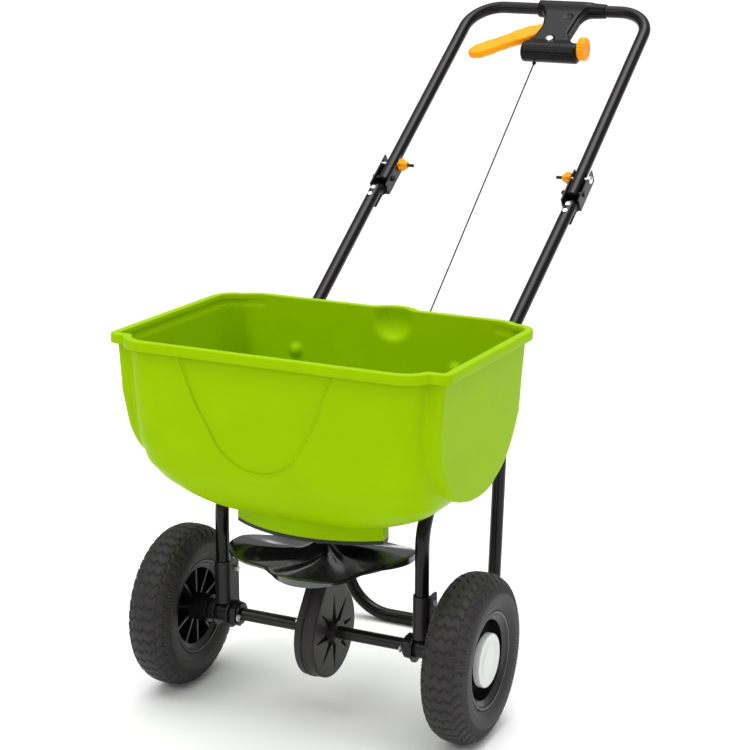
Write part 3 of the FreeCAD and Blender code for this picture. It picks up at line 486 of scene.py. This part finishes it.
def bin_field(x, y, z):
    curves = (half_curve, front_curve, rear_curve, corner_curve, flare)
    a, front, rear, corner, ease = (np.interp(z, fine_z, curve) for curve in curves)
    qx, qy = np.abs(x) - (a - corner), np.abs(y - (rear - front) / 2) - ((rear + front) / 2 - corner)
    middle = (np.hypot(np.maximum(qx, 0), np.maximum(qy, 0)) + np.minimum(np.maximum(qx, qy), 0) - corner) * ease
    middle = round_both(middle, LEVELS[0] - z, 6)
    reach = np.interp(z, [370, 468, 535, 608, 640], [256, 257, 261, 267, 267.5])
    pods = round_both(outline_distance(y, z, pod_side), np.abs(x) - reach, np.interp(y, [60, 150], [6.0, 30.0]))
    shape = blend_min(middle, pods, 5)
    drop = np.maximum(BULGE[2] - z, 0)
    bulge = np.sqrt((x - BULGE[0]) ** 2 + (y - BULGE[1]) ** 2 + drop**2) - BULGE_R
    shape = blend_min(shape, bulge, 8)
    leant = lean(np.stack(np.broadcast_arrays(x, y, z), axis=-1)) if np.ndim(x) == 1 else None
    if leant is not None:
        return blend_max(shape, -channel_field(leant[..., 0], leant[..., 1], leant[..., 2]), 5)
    c, s = math.cos(LEAN), math.sin(LEAN)
    y2 = LEAN_Y + (y - LEAN_Y) * c + (z - HOPPER_TOP) * s
    z2 = HOPPER_TOP - (y - LEAN_Y) * s + (z - HOPPER_TOP) * c
    return blend_max(shape, -channel_field(x, y2, z2), 5)


def outer_field(x, y, z):
    """The bin's outside, with a shallow shield-shaped panel sunk into its front."""
    sunk = outline_distance(x, z, PANEL)
    front = np.clip((-y - 60) / 20, 0, 1)
    edge = np.exp(-(((sunk - 0.5) / 2.0) ** 2))
    return bin_field(x, y, z) + front * (1.6 * np.clip(0.5 - sunk / 4, 0, 1) - 1.3 * edge)


def inner_field(x, y, z):
    """The bin's inside, with a small dome moulded over each hopper bolt and a ledge round the side lobes."""
    space = bin_field(x, y, z) + WALL - 1.4 * np.clip((z - 588) / 1.5, 0, 1) * (np.abs(x) > 200)
    for side in (-1, 1):
        dome = np.sqrt((x - side * BOLT[0]) ** 2 + (y - BOLT[1]) ** 2 + (z - BOLT[2]) ** 2) - BOLT_DOME_R
        space = blend_max(space, -dome, 5)
    return space


def neck_reach(x, y, inset):
    """Negative inside the outlet neck's plan: bowed front and back, a short flat at each side."""
    bows = np.maximum(np.hypot(x, y - 141.3) - (221.3 - inset), np.hypot(x, y + 69.9) - (131.9 - inset))
    return np.maximum(np.abs(x) - (NECK_HALF - inset), bows)


def open_bottom(points, faces):
    """Takes out the bin's floor over the neck."""
    middle = points[faces].mean(axis=1)
    keep = (neck_reach(middle[:, 0], middle[:, 1], WALL) > 0) | (middle[:, 2] > 365)
    return points, faces[keep]


def rim():
    """The rolled rim: a profile swept round the hopper's plan at its top."""
    count = 900
    turn = np.linspace(0, 2 * math.pi, count, endpoint=False)
    low, high = np.full(count, 100.0), np.full(count, 420.0)
    top = np.full(count, HOPPER_TOP)
    for _ in range(40):
        r = (low + high) / 2
        out = bin_field(r * np.cos(turn), 10 + r * np.sin(turn), top) > 0
        high, low = np.where(out, r, high), np.where(out, low, r)
    line = np.stack([r * np.cos(turn), 10 + r * np.sin(turn)], axis=-1)
    along = np.roll(line, -1, axis=0) - np.roll(line, 1, axis=0)
    normal = np.stack([along[:, 1], -along[:, 0]], axis=-1)
    normal /= np.linalg.norm(normal, axis=1, keepdims=True)
    front = line[:, 1] < -100
    step = 1.6 * np.clip((line[:, 0] + 182) / 3, 0, 1) * np.clip((84 - line[:, 0]) / 3, 0, 1) * front
    profile = [(-3, -9), (-3, -1.4), (-2.4, -0.5), (-1.4, 0), (7.6, 0), (9.2, -0.5), (10, -1.8), (10, -13.6),
               (9.4, -14.8), (8.2, -15), (7.2, -14.4), (7, -12), (7, -4), (6, -3), (0.4, -3), (-0.2, -5),
               (-0.2, -9), (-3, -9)]
    rings = []
    for out, up in profile:
        give = step * (0.5 if out > 8 else 0)
        flat = line + normal * (out - give)[:, None] if np.ndim(give) else line + normal * out
        rings.append(np.concatenate([flat, np.full((count, 1), HOPPER_TOP + up)], axis=1))
    return np.concatenate(rings), grid_faces(len(profile), count, flip=True)


def prism_faces(n):
    """Two ends and n sides of a prism whose lower ring of points comes first."""
    return [tuple(range(n))[::-1], tuple(range(n, 2 * n))] + [(i, (i + 1) % n, n + (i + 1) % n, n + i) for i in range(n)]


def neck_wall():
    """Neck walls and its ported floor, cut from plain prisms."""
    def prism(inset, z0, z1):
        x, front, back = NECK_HALF - inset, -42 + inset / 2, -25 + inset / 2
        edge = arc((-x, front), (0, -80 + inset), (x, front), 24) + [(x, front)]
        edge += arc((x, back), (0, 62 - inset), (-x, back), 24) + [(-x, back)]
        return [(x, y, z) for z in (z0, z1) for x, y in edge], prism_faces(len(edge))
    ports = [box_mesh(x, x + 34, -35, -10, NECK_Z - 10, NECK_Z + 10) for x in (-52, 18)]
    return carve(prism(0, NECK_Z, 345), [prism(WALL, NECK_Z + 4, 360), shaft_hole()] + ports)


def box_mesh(x0, x1, y0, y1, z0, z1):
    points = [(x, y, z) for z in (z0, z1) for x, y in ((x0, y0), (x1, y0), (x1, y1), (x0, y1))]
    return points, [(3, 2, 1, 0), (4, 5, 6, 7), (0, 1, 5, 4), (1, 2, 6, 5), (2, 3, 7, 6), (3, 0, 4, 7)]


def shaft_hole(r=9.0, n=32):
    ring = [(r * math.cos(2 * math.pi * i / n), r * math.sin(2 * math.pi * i / n)) for i in range(n)]
    points = [(x, y, z) for z in (NECK_Z - 10, NECK_Z + 10) for x, y in ring]
    return points, prism_faces(n)


def plain_object(shape):
    mesh = bpy.data.meshes.new("tool")
    mesh.from_pydata([tuple(p) for p in shape[0]], [], [tuple(f) for f in shape[1]])
    obj = bpy.data.objects.new("tool", mesh)
    bpy.context.scene.collection.objects.link(obj)
    return obj


def carve(shape, tools):
    """A shape with others cut out of it, as (points, faces)."""
    target = plain_object(shape)
    cutters = [plain_object(tool) for tool in tools]
    for cutter in cutters:
        change = target.modifiers.new("cut", "BOOLEAN")
        change.operation = "DIFFERENCE"
        change.solver = "EXACT"
        change.object = cutter
    bpy.context.view_layer.update()
    mesh = bpy.data.meshes.new_from_object(target.evaluated_get(bpy.context.evaluated_depsgraph_get()))
    points = np.array([v.co for v in mesh.vertices])
    faces = [tuple(p.vertices) for p in mesh.polygons]
    for obj in [target] + cutters:
        bpy.data.objects.remove(obj)
    return points, faces


def panel_bead(radius=1.4, count=10):
    """A thin raised bead along the panel's edge."""
    line = [p for p in PANEL if p[1] < 700]
    ends = [(-145.5, HOPPER_TOP - 14)] + line[1:] + [(111.5, HOPPER_TOP - 14)]
    flat = []
    for (ax, az), (bx, bz) in zip(ends, ends[1:]):
        n = max(2, int(math.hypot(bx - ax, bz - az) / 4))
        flat += [(ax + (bx - ax) * i / n, az + (bz - az) * i / n) for i in range(n)]
    flat = np.array(flat + [ends[-1]])
    for _ in range(3):
        flat[1:-1] = (flat[:-2] + 2 * flat[1:-1] + flat[2:]) / 4
    near_y, far_y = np.full(len(flat), -240.0), np.full(len(flat), -60.0)
    for _ in range(30):
        y = (near_y + far_y) / 2
        out = bin_field(flat[:, 0], y, flat[:, 1]) > 0
        near_y, far_y = np.where(out, y, near_y), np.where(out, far_y, y)
    path = np.stack([flat[:, 0], near_y, flat[:, 1]], axis=-1)
    along = np.gradient(path, axis=0)
    along /= np.linalg.norm(along, axis=1, keepdims=True)
    across = np.cross(along, (0, 1, 0))
    across /= np.linalg.norm(across, axis=1, keepdims=True)
    up = np.cross(across, along)
    turn = 2 * math.pi * np.arange(count) / count
    c, s = np.cos(turn)[None, :, None], np.sin(turn)[None, :, None]
    points = path[:, None] + radius * (c * across[:, None] + s * up[:, None])
    return points.reshape(-1, 3), grid_faces(len(path), count)


step = 6.0 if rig.quick() else 3.0
low, high = (-280.0, -190.0, 330.0), (280.0, 240.0, HOPPER_TOP - 1.5)
outside = open_bottom(*skin(outer_field, low, high, step))
inside = open_bottom(*skin(inner_field, low, high, step, inward=True))
rim_shape = rim()
hopper_parts = [(lean(points), faces) for points, faces in (outside, inside, rim_shape, panel_bead())] + [neck_wall()]
piece("hopper_moulding", hopper_parts, "frame", "hopper_green", ["hopper"], sharp=50)


# ---------------------------------------------------------------- tyres
PITCHES = 44


def zigzag(v):
    return np.abs((v % 1) - 0.5) * 4 - 1


def near(v, width):
    """One where v is close to a whole number, falling to nothing at width."""
    return np.exp(-(((v - np.round(v)) / width) ** 4))


def tread(u, x, r):
    """Depth cut into the tyre at pitch position u, across at x, radius r."""
    crown = np.clip((23 - np.abs(x)) / 3, 0, 1)
    groove = crown * near(u + 0.17 * zigzag(x / 15 + 0.25), 0.12) * 2.6
    shoulder = np.clip((np.abs(x) - 22) / 2, 0, 1) * np.clip((r - 112) / 3, 0, 1)
    groove = groove + shoulder * near(u + 0.5 + 0.12 * zigzag(np.abs(x) / 10), 0.16) * 2.4
    groove = groove + near((np.abs(x) - 22) / 60, 0.022) * 1.2 * (r > 109)
    ribs = np.clip((r - 101) / 4, 0, 1) * np.clip((118 - r) / 5, 0, 1)
    return groove + ribs * (0.5 + 0.5 * np.cos(2 * math.pi * 3 * u)) * 1.0


def tyre_profile():
    """(across, radius) points of half the tyre's section from the tread's middle to the bead."""
    keys = [(0, 130), (15, 128.4), (26, 123), (33, 113.5), (36.6, 101), (36, 90), (33, 81), (31.5, 77)]
    keys = np.array(keys, float)
    d = np.concatenate([[0], np.cumsum(np.linalg.norm(np.diff(keys, axis=0), axis=1))])
    s = np.linspace(0, d[-1], 64)
    tangent = np.gradient(keys, d, axis=0)
    i = np.clip(np.searchsorted(d, s, side="right") - 1, 0, len(d) - 2)
    h = d[i + 1] - d[i]
    t = (s - d[i]) / h
    h00, h10, h01, h11 = 2*t**3 - 3*t**2 + 1, t**3 - 2*t**2 + t, -2*t**3 + 3*t**2, t**3 - t**2
    return (h00[:, None] * keys[i] + (h10 * h)[:, None] * tangent[i] + h01[:, None] * keys[i + 1]
            + (h11 * h)[:, None] * tangent[i + 1])


def tyre(side):
    half = tyre_profile()
    both = np.concatenate([half[::-1] * (-1, 1), half[1:]])
    slope = np.gradient(both, axis=0)
    normal = np.stack([-slope[:, 1], slope[:, 0]], axis=-1)
    normal /= np.linalg.norm(normal, axis=1, keepdims=True)
    around = PITCHES * 16
    turn = np.arange(around) / around
    u = np.broadcast_to(turn * PITCHES, (len(both), around))
    across, radius = both[:, :1], both[:, 1:]
    depth = tread(u, np.broadcast_to(across, u.shape) * side, np.broadcast_to(radius, u.shape))
    for line in (80.0, 95.0):
        depth = depth + 0.5 * np.exp(-(((radius - line) / 0.9) ** 2))
    a = across - normal[:, :1] * depth
    r = radius - normal[:, 1:] * depth
    bead = np.array([(27.9, 75.6), (25.8, 66.3)])
    ends_low = np.concatenate([bead[::-1] * (-1, 1)])
    a = np.concatenate([np.broadcast_to(ends_low[:, :1], (2, around)), a, np.broadcast_to(bead[:, :1], (2, around))])
    r = np.concatenate([np.broadcast_to(ends_low[:, 1:], (2, around)), r, np.broadcast_to(bead[:, 1:], (2, around))])
    angle = 2 * math.pi * turn
    points = np.stack([side * WHEEL_X + a, r * np.cos(angle), AXLE_Z + r * np.sin(angle)], axis=-1)
    return points.reshape(-1, 3), grid_faces(len(a), around, flip=True)


for name, side, body in (("left", -1, "drive_axle"), ("right", 1, "free_wheel")):
    piece("tyre_tread_" + name, [tyre(side)], body, "tyre_rubber", ["tyre_" + name], sharp=60)


# ---------------------------------------------------------------- hub caps
def wheel_face(profile, side, **flutes):
    points, faces = lathe(profile, 96, **flutes)
    points = points * (side, 1, 1) + (side * WHEEL_X, 0, AXLE_Z)
    return points, faces if side > 0 else faces[:, ::-1]


cap = [(20, 40.2), (20, 41.4), (28, 41.4), (29.4, 40.6), (30, 39), (30, 30), (29.2, 28.8), (29.2, 10), (29.6, 6),
       (29.6, 0.01)]
for name, side, body in (("left", -1, "drive_axle"), ("right", 1, "free_wheel")):
    piece("hub_cap_face_" + name, [wheel_face(cap, side)], body, "cap_grey", ["hub_cap_" + name])


# ---------------------------------------------------------------- impeller
def impeller():
    """A four-lobed dished plate with a curved ridge down each lobe, closed underneath."""
    radial, around = 60, 360
    turn = np.linspace(0, 2 * math.pi, around, endpoint=False)
    part = np.linspace(0.035, 1, radial)
    lobe = 0.5 + 0.5 * np.cos(4 * (turn - SPINNER_TURN))
    reach = 106 + (SPINNER_R - 106.5) * lobe ** 0.85
    rho, theta = np.meshgrid(part, turn, indexing="ij")
    radius = rho * reach[None, :]
    swirl = 0.62 * (1 - rho) ** 1.3 - 0.12
    wave = np.cos(4 * (theta - SPINNER_TURN - swirl))
    ridge = np.clip((0.5 + 0.5 * wave) * 1.15 - 0.1, 0, 1) ** 1.5
    top = 257.0 + ridge * (11.0 - 0.5 * rho) * np.clip((rho - 0.08) / 0.25, 0, 1) + 24 * np.exp(-((radius / 24) ** 2))
    roll = np.clip((rho - 0.965) / 0.035, 0, 1)
    top = top - 1.5 * roll**2
    under = top - 3.0
    rim_low = np.minimum(under[-1], 255.5)
    x, y = radius * np.cos(theta), radius * np.sin(theta)
    upper = np.stack([x, y, top], axis=-1).reshape(-1, 3)
    edge = np.stack([x[-1], y[-1], rim_low], axis=-1)
    x, y = x * 0.975, y * 0.975
    inner_edge = np.stack([x[-1], y[-1], rim_low], axis=-1)
    lower = np.stack([x[::-1], y[::-1], under[::-1]], axis=-1).reshape(-1, 3)
    points = np.concatenate([upper, edge, inner_edge, lower])
    return points, grid_faces(radial * 2 + 2, around, flip=True)


hub = [(240.2, 5.1), (240.2, 17), (241, 18), (262, 18), (268, 15), (278, 11.5), (284, 9), (285, 5.1), (240.2, 5.1)]
hub_points, hub_faces = lathe(hub, 48)
hub_points = np.stack([hub_points[:, 1], hub_points[:, 2], hub_points[:, 0]], axis=-1)
piece("impeller_dish", [impeller(), (hub_points, hub_faces)], "spinner", "impeller_grey", ["impeller"], sharp=40)

# ---------------------------------------------------------------- gear case
CASE_R, CASE_TOP = 73.0, 228.0
case_lean = math.radians(62)
CASE_SIDE = (CASE_R * math.sin(case_lean), AXLE_Z + CASE_R * math.cos(case_lean))
case_loop = (arc((-CASE_SIDE[0], CASE_SIDE[1]), (0, AXLE_Z - CASE_R), CASE_SIDE, 48)
             + [CASE_SIDE, (20, CASE_TOP - 4), (16, CASE_TOP), (-16, CASE_TOP), (-20, CASE_TOP - 4)])


def case_field(x, y, z, x0, x1, star):
    shape = round_both(outline_distance(y, z, case_loop), np.abs(x - (x0 + x1) / 2) - (x1 - x0) / 2, 3.0)
    r = np.hypot(y, z - AXLE_Z)
    seam = x0 if star > 0 else x1
    shape = blend_min(shape, round_both(outline_distance(y, z, case_loop) - 1.0, np.abs(x - seam) - 4.5, 0.8), 1.0)
    split = np.maximum(np.abs(x - seam) - 0.9, -1.4 - outline_distance(y, z, case_loop))
    shape = blend_max(shape, -split, 0.4)
    face = x1 if star > 0 else x0
    boss = round_both(r - 20, np.abs(x - face - star * 3) - 5.4, 1.5)
    shape = blend_min(shape, boss, 1.5)
    around = np.arctan2(y, z - AXLE_Z)
    off = (around + math.pi / 8) % (math.pi / 4) - math.pi / 8
    beside = np.abs(r * np.sin(off))
    width = np.clip(5.6 - (r - 20) * 0.13, 0.0, 5.6)
    cut = round_both(beside - width, -4.5 - (x - face) * star, 0.3)
    cut = np.maximum(cut, np.maximum(19 - r, r - 60))
    shape = blend_max(shape, -cut, 0.8)
    return np.maximum(shape, 10.4 - r)


def gear_case(x0, x1, star):
    low = (x0 - 9, -76, AXLE_Z - 76)
    high = (x1 + 9, 76, CASE_TOP + 3)
    return skin(lambda x, y, z: case_field(x, y, z, x0, x1, star), low, high, 1.6)


piece("gear_case_half_left", [gear_case(-14.0, -0.15, -1)], "frame", "case_grey", ["gear_case_left"], sharp=50)
ear, ear_faces = lathe([(0.5, 2), (0.5, 6), (14, 6), (15, 5), (15, 2), (0.5, 2)], 32)
piece("gear_case_half_right", [gear_case(0.15, 20.0, 1), (ear + (0, -22, 221), ear_faces)], "frame", "case_grey",
      ["gear_case_right"], sharp=50)

# ---------------------------------------------------------------- control box, trigger, knobs and dial
arm_loop = [(x, BAR_S + t) for x, t in ((-43, 8), (58, 8), (44, -30), (39, -78), (60, -118), (58, -128), (-30, -128),
                                        (-34, -112), (-24, -90), (-18, -60), (-24, -28))]
BLOCK_T = BAR_S - 123.0
SCREW = (10, BAR_S - 99)


def control_field(x, t, n):
    sleeve = round_both(np.hypot(t - BAR_S, n) - 15.8 + 2.6 * np.clip((x - 42) / 46, 0, 1), np.abs(x - 21.5) - 66.5, 3)
    arm = round_both(outline_distance(x, t, arm_loop), np.abs(n) - 12.9, 5)
    body = round_both(np.hypot(t - BLOCK_T, n) - 18.9, np.abs(x - 17) - 54, 5)
    shape = blend_min(blend_min(sleeve, arm, 8), body, 9)
    recess = block(x, t, n, (-20, BAR_S - 66, 0), (30, 27, 8.6), 2)
    shape = blend_max(shape, -recess, 1.5)
    for cx, ct, r, deep in ((SCREW[0], SCREW[1], 9.0, 11.6), (26, BAR_S - 34, 8.0, 11.6)):
        shape = blend_max(shape, -np.maximum(np.hypot(x - cx, t - ct) - r, deep - n), 0.8)
    shape = blend_max(shape, 11.05 - np.hypot(t - BAR_S, n), 0.5)
    return shape


def control_half(sign):
    def field(x, t, n):
        return round_both(control_field(x, t, n), 0.12 - sign * n, 0.7)
    low, high = (-48, BAR_S - 145, -21 if sign < 0 else -1), (92, BAR_S + 19, 21 if sign > 0 else 1)
    points, faces = skin(field, low, high, 1.6)
    return from_handle(points), faces


piece("control_shell_top", [control_half(1)], "folding_handle", "control_black", ["control_box_top"], sharp=50)
piece("control_shell_bottom", [control_half(-1)], "folding_handle", "control_black", ["control_box_bottom"], sharp=50)

screw_outline = [(9.8, 0.01), (9.8, 6.6), (14, 6.6), (15, 5.6), (15, 4.6), (13.6, 3.2), (13.6, 0.01)]
screw_head, screw_faces = lathe(screw_outline, 32)
screw_head = from_handle(screw_head[:, [1, 2, 0]] + (SCREW[0], SCREW[1], 0))
piece("control_box_screw", [(screw_head, screw_faces)], "folding_handle", "zinc", ["control_screws"])

LEVER = [(-6, 56, 10), (-20, 62, 13), (-38, 72, 16.5), (-60, 86, 16), (-84, 103, 14), (-106, 118, 15.5),
         (-122, 129, 15), (-130, 134, 11.5)]


def lever_field(x, t, n):
    """Bowed finger lever: a soft bar along a curve, thicker in the middle."""
    best = np.full(np.broadcast(x, t, n).shape, 1e9)
    for (ax, au, aw), (bx, bu, bw) in zip(LEVER, LEVER[1:]):
        ay, by = BAR_S - au, BAR_S - bu
        ex, ey = bx - ax, by - ay
        k = np.clip(((x - ax) * ex + (t - ay) * ey) / (ex * ex + ey * ey), 0, 1)
        flat = np.hypot(x - ax - k * ex, t - ay - k * ey) - (aw + (bw - aw) * k)
        best = blend_min(best, round_both(flat, np.abs(n) - 7.0, 4.5), 2.5)
    hub = round_both(np.hypot(x + 4, t - BAR_S + 56) - 10, np.abs(n) - 7, 1)
    return blend_min(best, hub, 2)


points, faces = skin(lever_field, (-146, BAR_S - 150, -9), (10, BAR_S - 40, 9), 1.8)
piece("trigger_lever", [(from_handle(points), faces)], "trigger", "orange", ["trigger"], sharp=60)

knob = [(146.4, 3.1), (146.4, 5.5), (147.5, 6.5), (150, 7.2), (152, 9.5), (154, 11), (160, 11.2), (161.6, 10.4),
        (162.2, 9), (162.2, 3.1), (146.4, 3.1)]
for name, side in (("left", -1), ("right", 1)):
    points, faces = lathe(knob, 72, flutes=6, depth=3.0, low=151, high=161.8)
    points = from_handle(points + (0, LOCK_S, 0)) * (side, 1, 1)
    piece("star_knob_" + name, [(points, faces if side > 0 else faces[:, ::-1])], "knob_" + name, "orange",
          ["wing_knob_" + name])

bolt_head = [(160, 0.01), (160, 3), (196.2, 3), (196.2, 7), (197, 7), (198.8, 5.6), (200, 3.2), (200, 0.01)]
bolt_tip = [(134.6, 0.01), (134.6, 2.4), (135.4, 3.0), (160, 3.0), (160, 0.01)]
# The bolt's tip takes a black finish as a painted reflection: the chromed bolt end looks dark where it mirrors its
# surroundings, and that dark look is painted into its colour.
bolt_ends = (("head", bolt_head, "zinc", ["lock_bolts"]), ("tip", bolt_tip, "bushing_black", []))
for name, side in (("left", -1), ("right", 1)):
    for kind, outline, slot, nodes in bolt_ends:
        points, faces = lathe(outline, 32)
        points = from_handle(points + (0, LOCK_S, 0)) * (side, 1, 1)
        part = (points, faces if side > 0 else faces[:, ::-1])
        piece("lock_bolt_" + kind + "_" + name, [part], "folding_handle", slot, nodes)

dial = [(52, 0.01), (52, 5), (71.6, 5), (71.6, 15), (72, 19.5), (73.5, 21.3), (83.5, 21.3), (85.6, 20), (86.3, 18),
        (86.3, 13), (85, 11.5), (85, 0.01)]
points, faces = lathe(dial, 120, flutes=20, depth=1.7, low=72.5, high=85)
piece("flow_dial_knob", [(from_handle(points + (0, BAR_S - 115, 5)), faces)], "flow_dial", "orange", ["flow_dial"])

# ---------------------------------------------------------------- control cable
cable_low, cable_high = np.array([0, 114.4, NECK_Z + 10]), np.array([-17, 902.0, 908.0])
CABLE_D = 2.8
path = [cable_low + (cable_high - cable_low) * t for t in np.linspace(0, 1, 80)]
ring = 12
way = (cable_high - cable_low) / np.linalg.norm(cable_high - cable_low)
side_a = np.cross(way, (1, 0, 0))
side_a /= np.linalg.norm(side_a)
side_b = np.cross(way, side_a)
circle = [side_a * math.cos(2 * math.pi * i / ring) + side_b * math.sin(2 * math.pi * i / ring) for i in range(ring)]
points = np.array([p + c * CABLE_D / 2 for p in path for c in circle])
faces = grid_faces(len(path), ring).tolist() + [list(range(ring)), [len(points) - 1 - i for i in range(ring)]]
cable = piece("control_cable_run", [(points, np.array(faces, dtype=object))], None, "cable_black", ["control_cable"])
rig.blend(cable, "frame", "folding_handle", start=row([0, 350, 489]), end=row([0, 800, 830]))
cable_length = float(np.linalg.norm(cable_high - cable_low)) * MM
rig.cord(cable, exit=row(cable_high), length=cable_length, diameter=CABLE_D * MM, far_end="object", stiffness="stiff",
        lay="taut", path=row(np.array(path)))

# ---------------------------------------------------------------- floor, light and camera
def area_light(name, place, target, size, power, colour=(1, 1, 1)):
    data = bpy.data.lights.new(name, "AREA")
    data.shape = "RECTANGLE"
    data.size, data.size_y = size
    data.energy = power
    data.color = colour
    obj = bpy.data.objects.new(name, data)
    obj.location = place
    obj.rotation_euler = (Vector(target) - Vector(place)).to_track_quat("-Z", "Y").to_euler()
    bpy.context.scene.collection.objects.link(obj)


bpy.ops.mesh.primitive_plane_add(size=300, location=(0, 0, 0))
floor = bpy.context.object
floor.name = "studio_floor"
floor.data.materials.append(finish("floor_paper", (0.97, 0.97, 0.97), 0.75, mottle=0.004, grain=3))
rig.stage(floor)
area_light("key", (-1.9, -2.6, 4.0), (0, -0.2, 0.4), (1.4, 1.4), 20)
area_light("floor_fill", (-0.6, -3.4, 2.4), (-0.1, -0.9, 0.0), (2.4, 0.6), 22)
area_light("side", (3.6, -1.2, 2.0), (0, -0.2, 0.4), (0.8, 2.4), 10)
area_light("top", (0.4, 0.8, 4.4), (0, 0, 0.4), (2.0, 2.0), 56)
overhead = bpy.data.lights.new("overhead", "SUN")
overhead.energy = 2.45
overhead.angle = math.radians(70)
overhead = bpy.data.objects.new("overhead", overhead)
bpy.context.scene.collection.objects.link(overhead)
world = bpy.data.worlds.new("studio")
world.use_nodes = True
world.node_tree.nodes["Background"].inputs["Color"].default_value = (1, 1, 1, 1)
world.node_tree.nodes["Background"].inputs["Strength"].default_value = 0.44
bpy.context.scene.world = world
bpy.context.scene.view_settings.view_transform = "Standard"

VIEW_TURN, VIEW_RISE = math.radians(25.595), math.radians(15.63)
VIEW_DISTANCE = 3177.65
TARGET = np.array([0, 187.57, 493.46])
toward = np.array([math.sin(VIEW_TURN) * math.cos(VIEW_RISE), -math.cos(VIEW_TURN) * math.cos(VIEW_RISE),
                   math.sin(VIEW_RISE)])
eye, aim = Vector(row(TARGET + toward * VIEW_DISTANCE)), Vector(row(TARGET))
lens = bpy.data.cameras.new("photo_view")
lens.lens = 95.96
lens.sensor_width = 36
camera = bpy.data.objects.new("photo_view", lens)
camera.location = eye
camera.rotation_euler = (aim - eye).to_track_quat("-Z", "Y").to_euler()
bpy.context.scene.collection.objects.link(camera)
bpy.context.scene.camera = camera

new_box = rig.bounds()
with open("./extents.json", "w") as out:
    json.dump({"cad": [list(map(float, c)) for c in cad_box], "visual": [list(map(float, c)) for c in new_box]}, out)
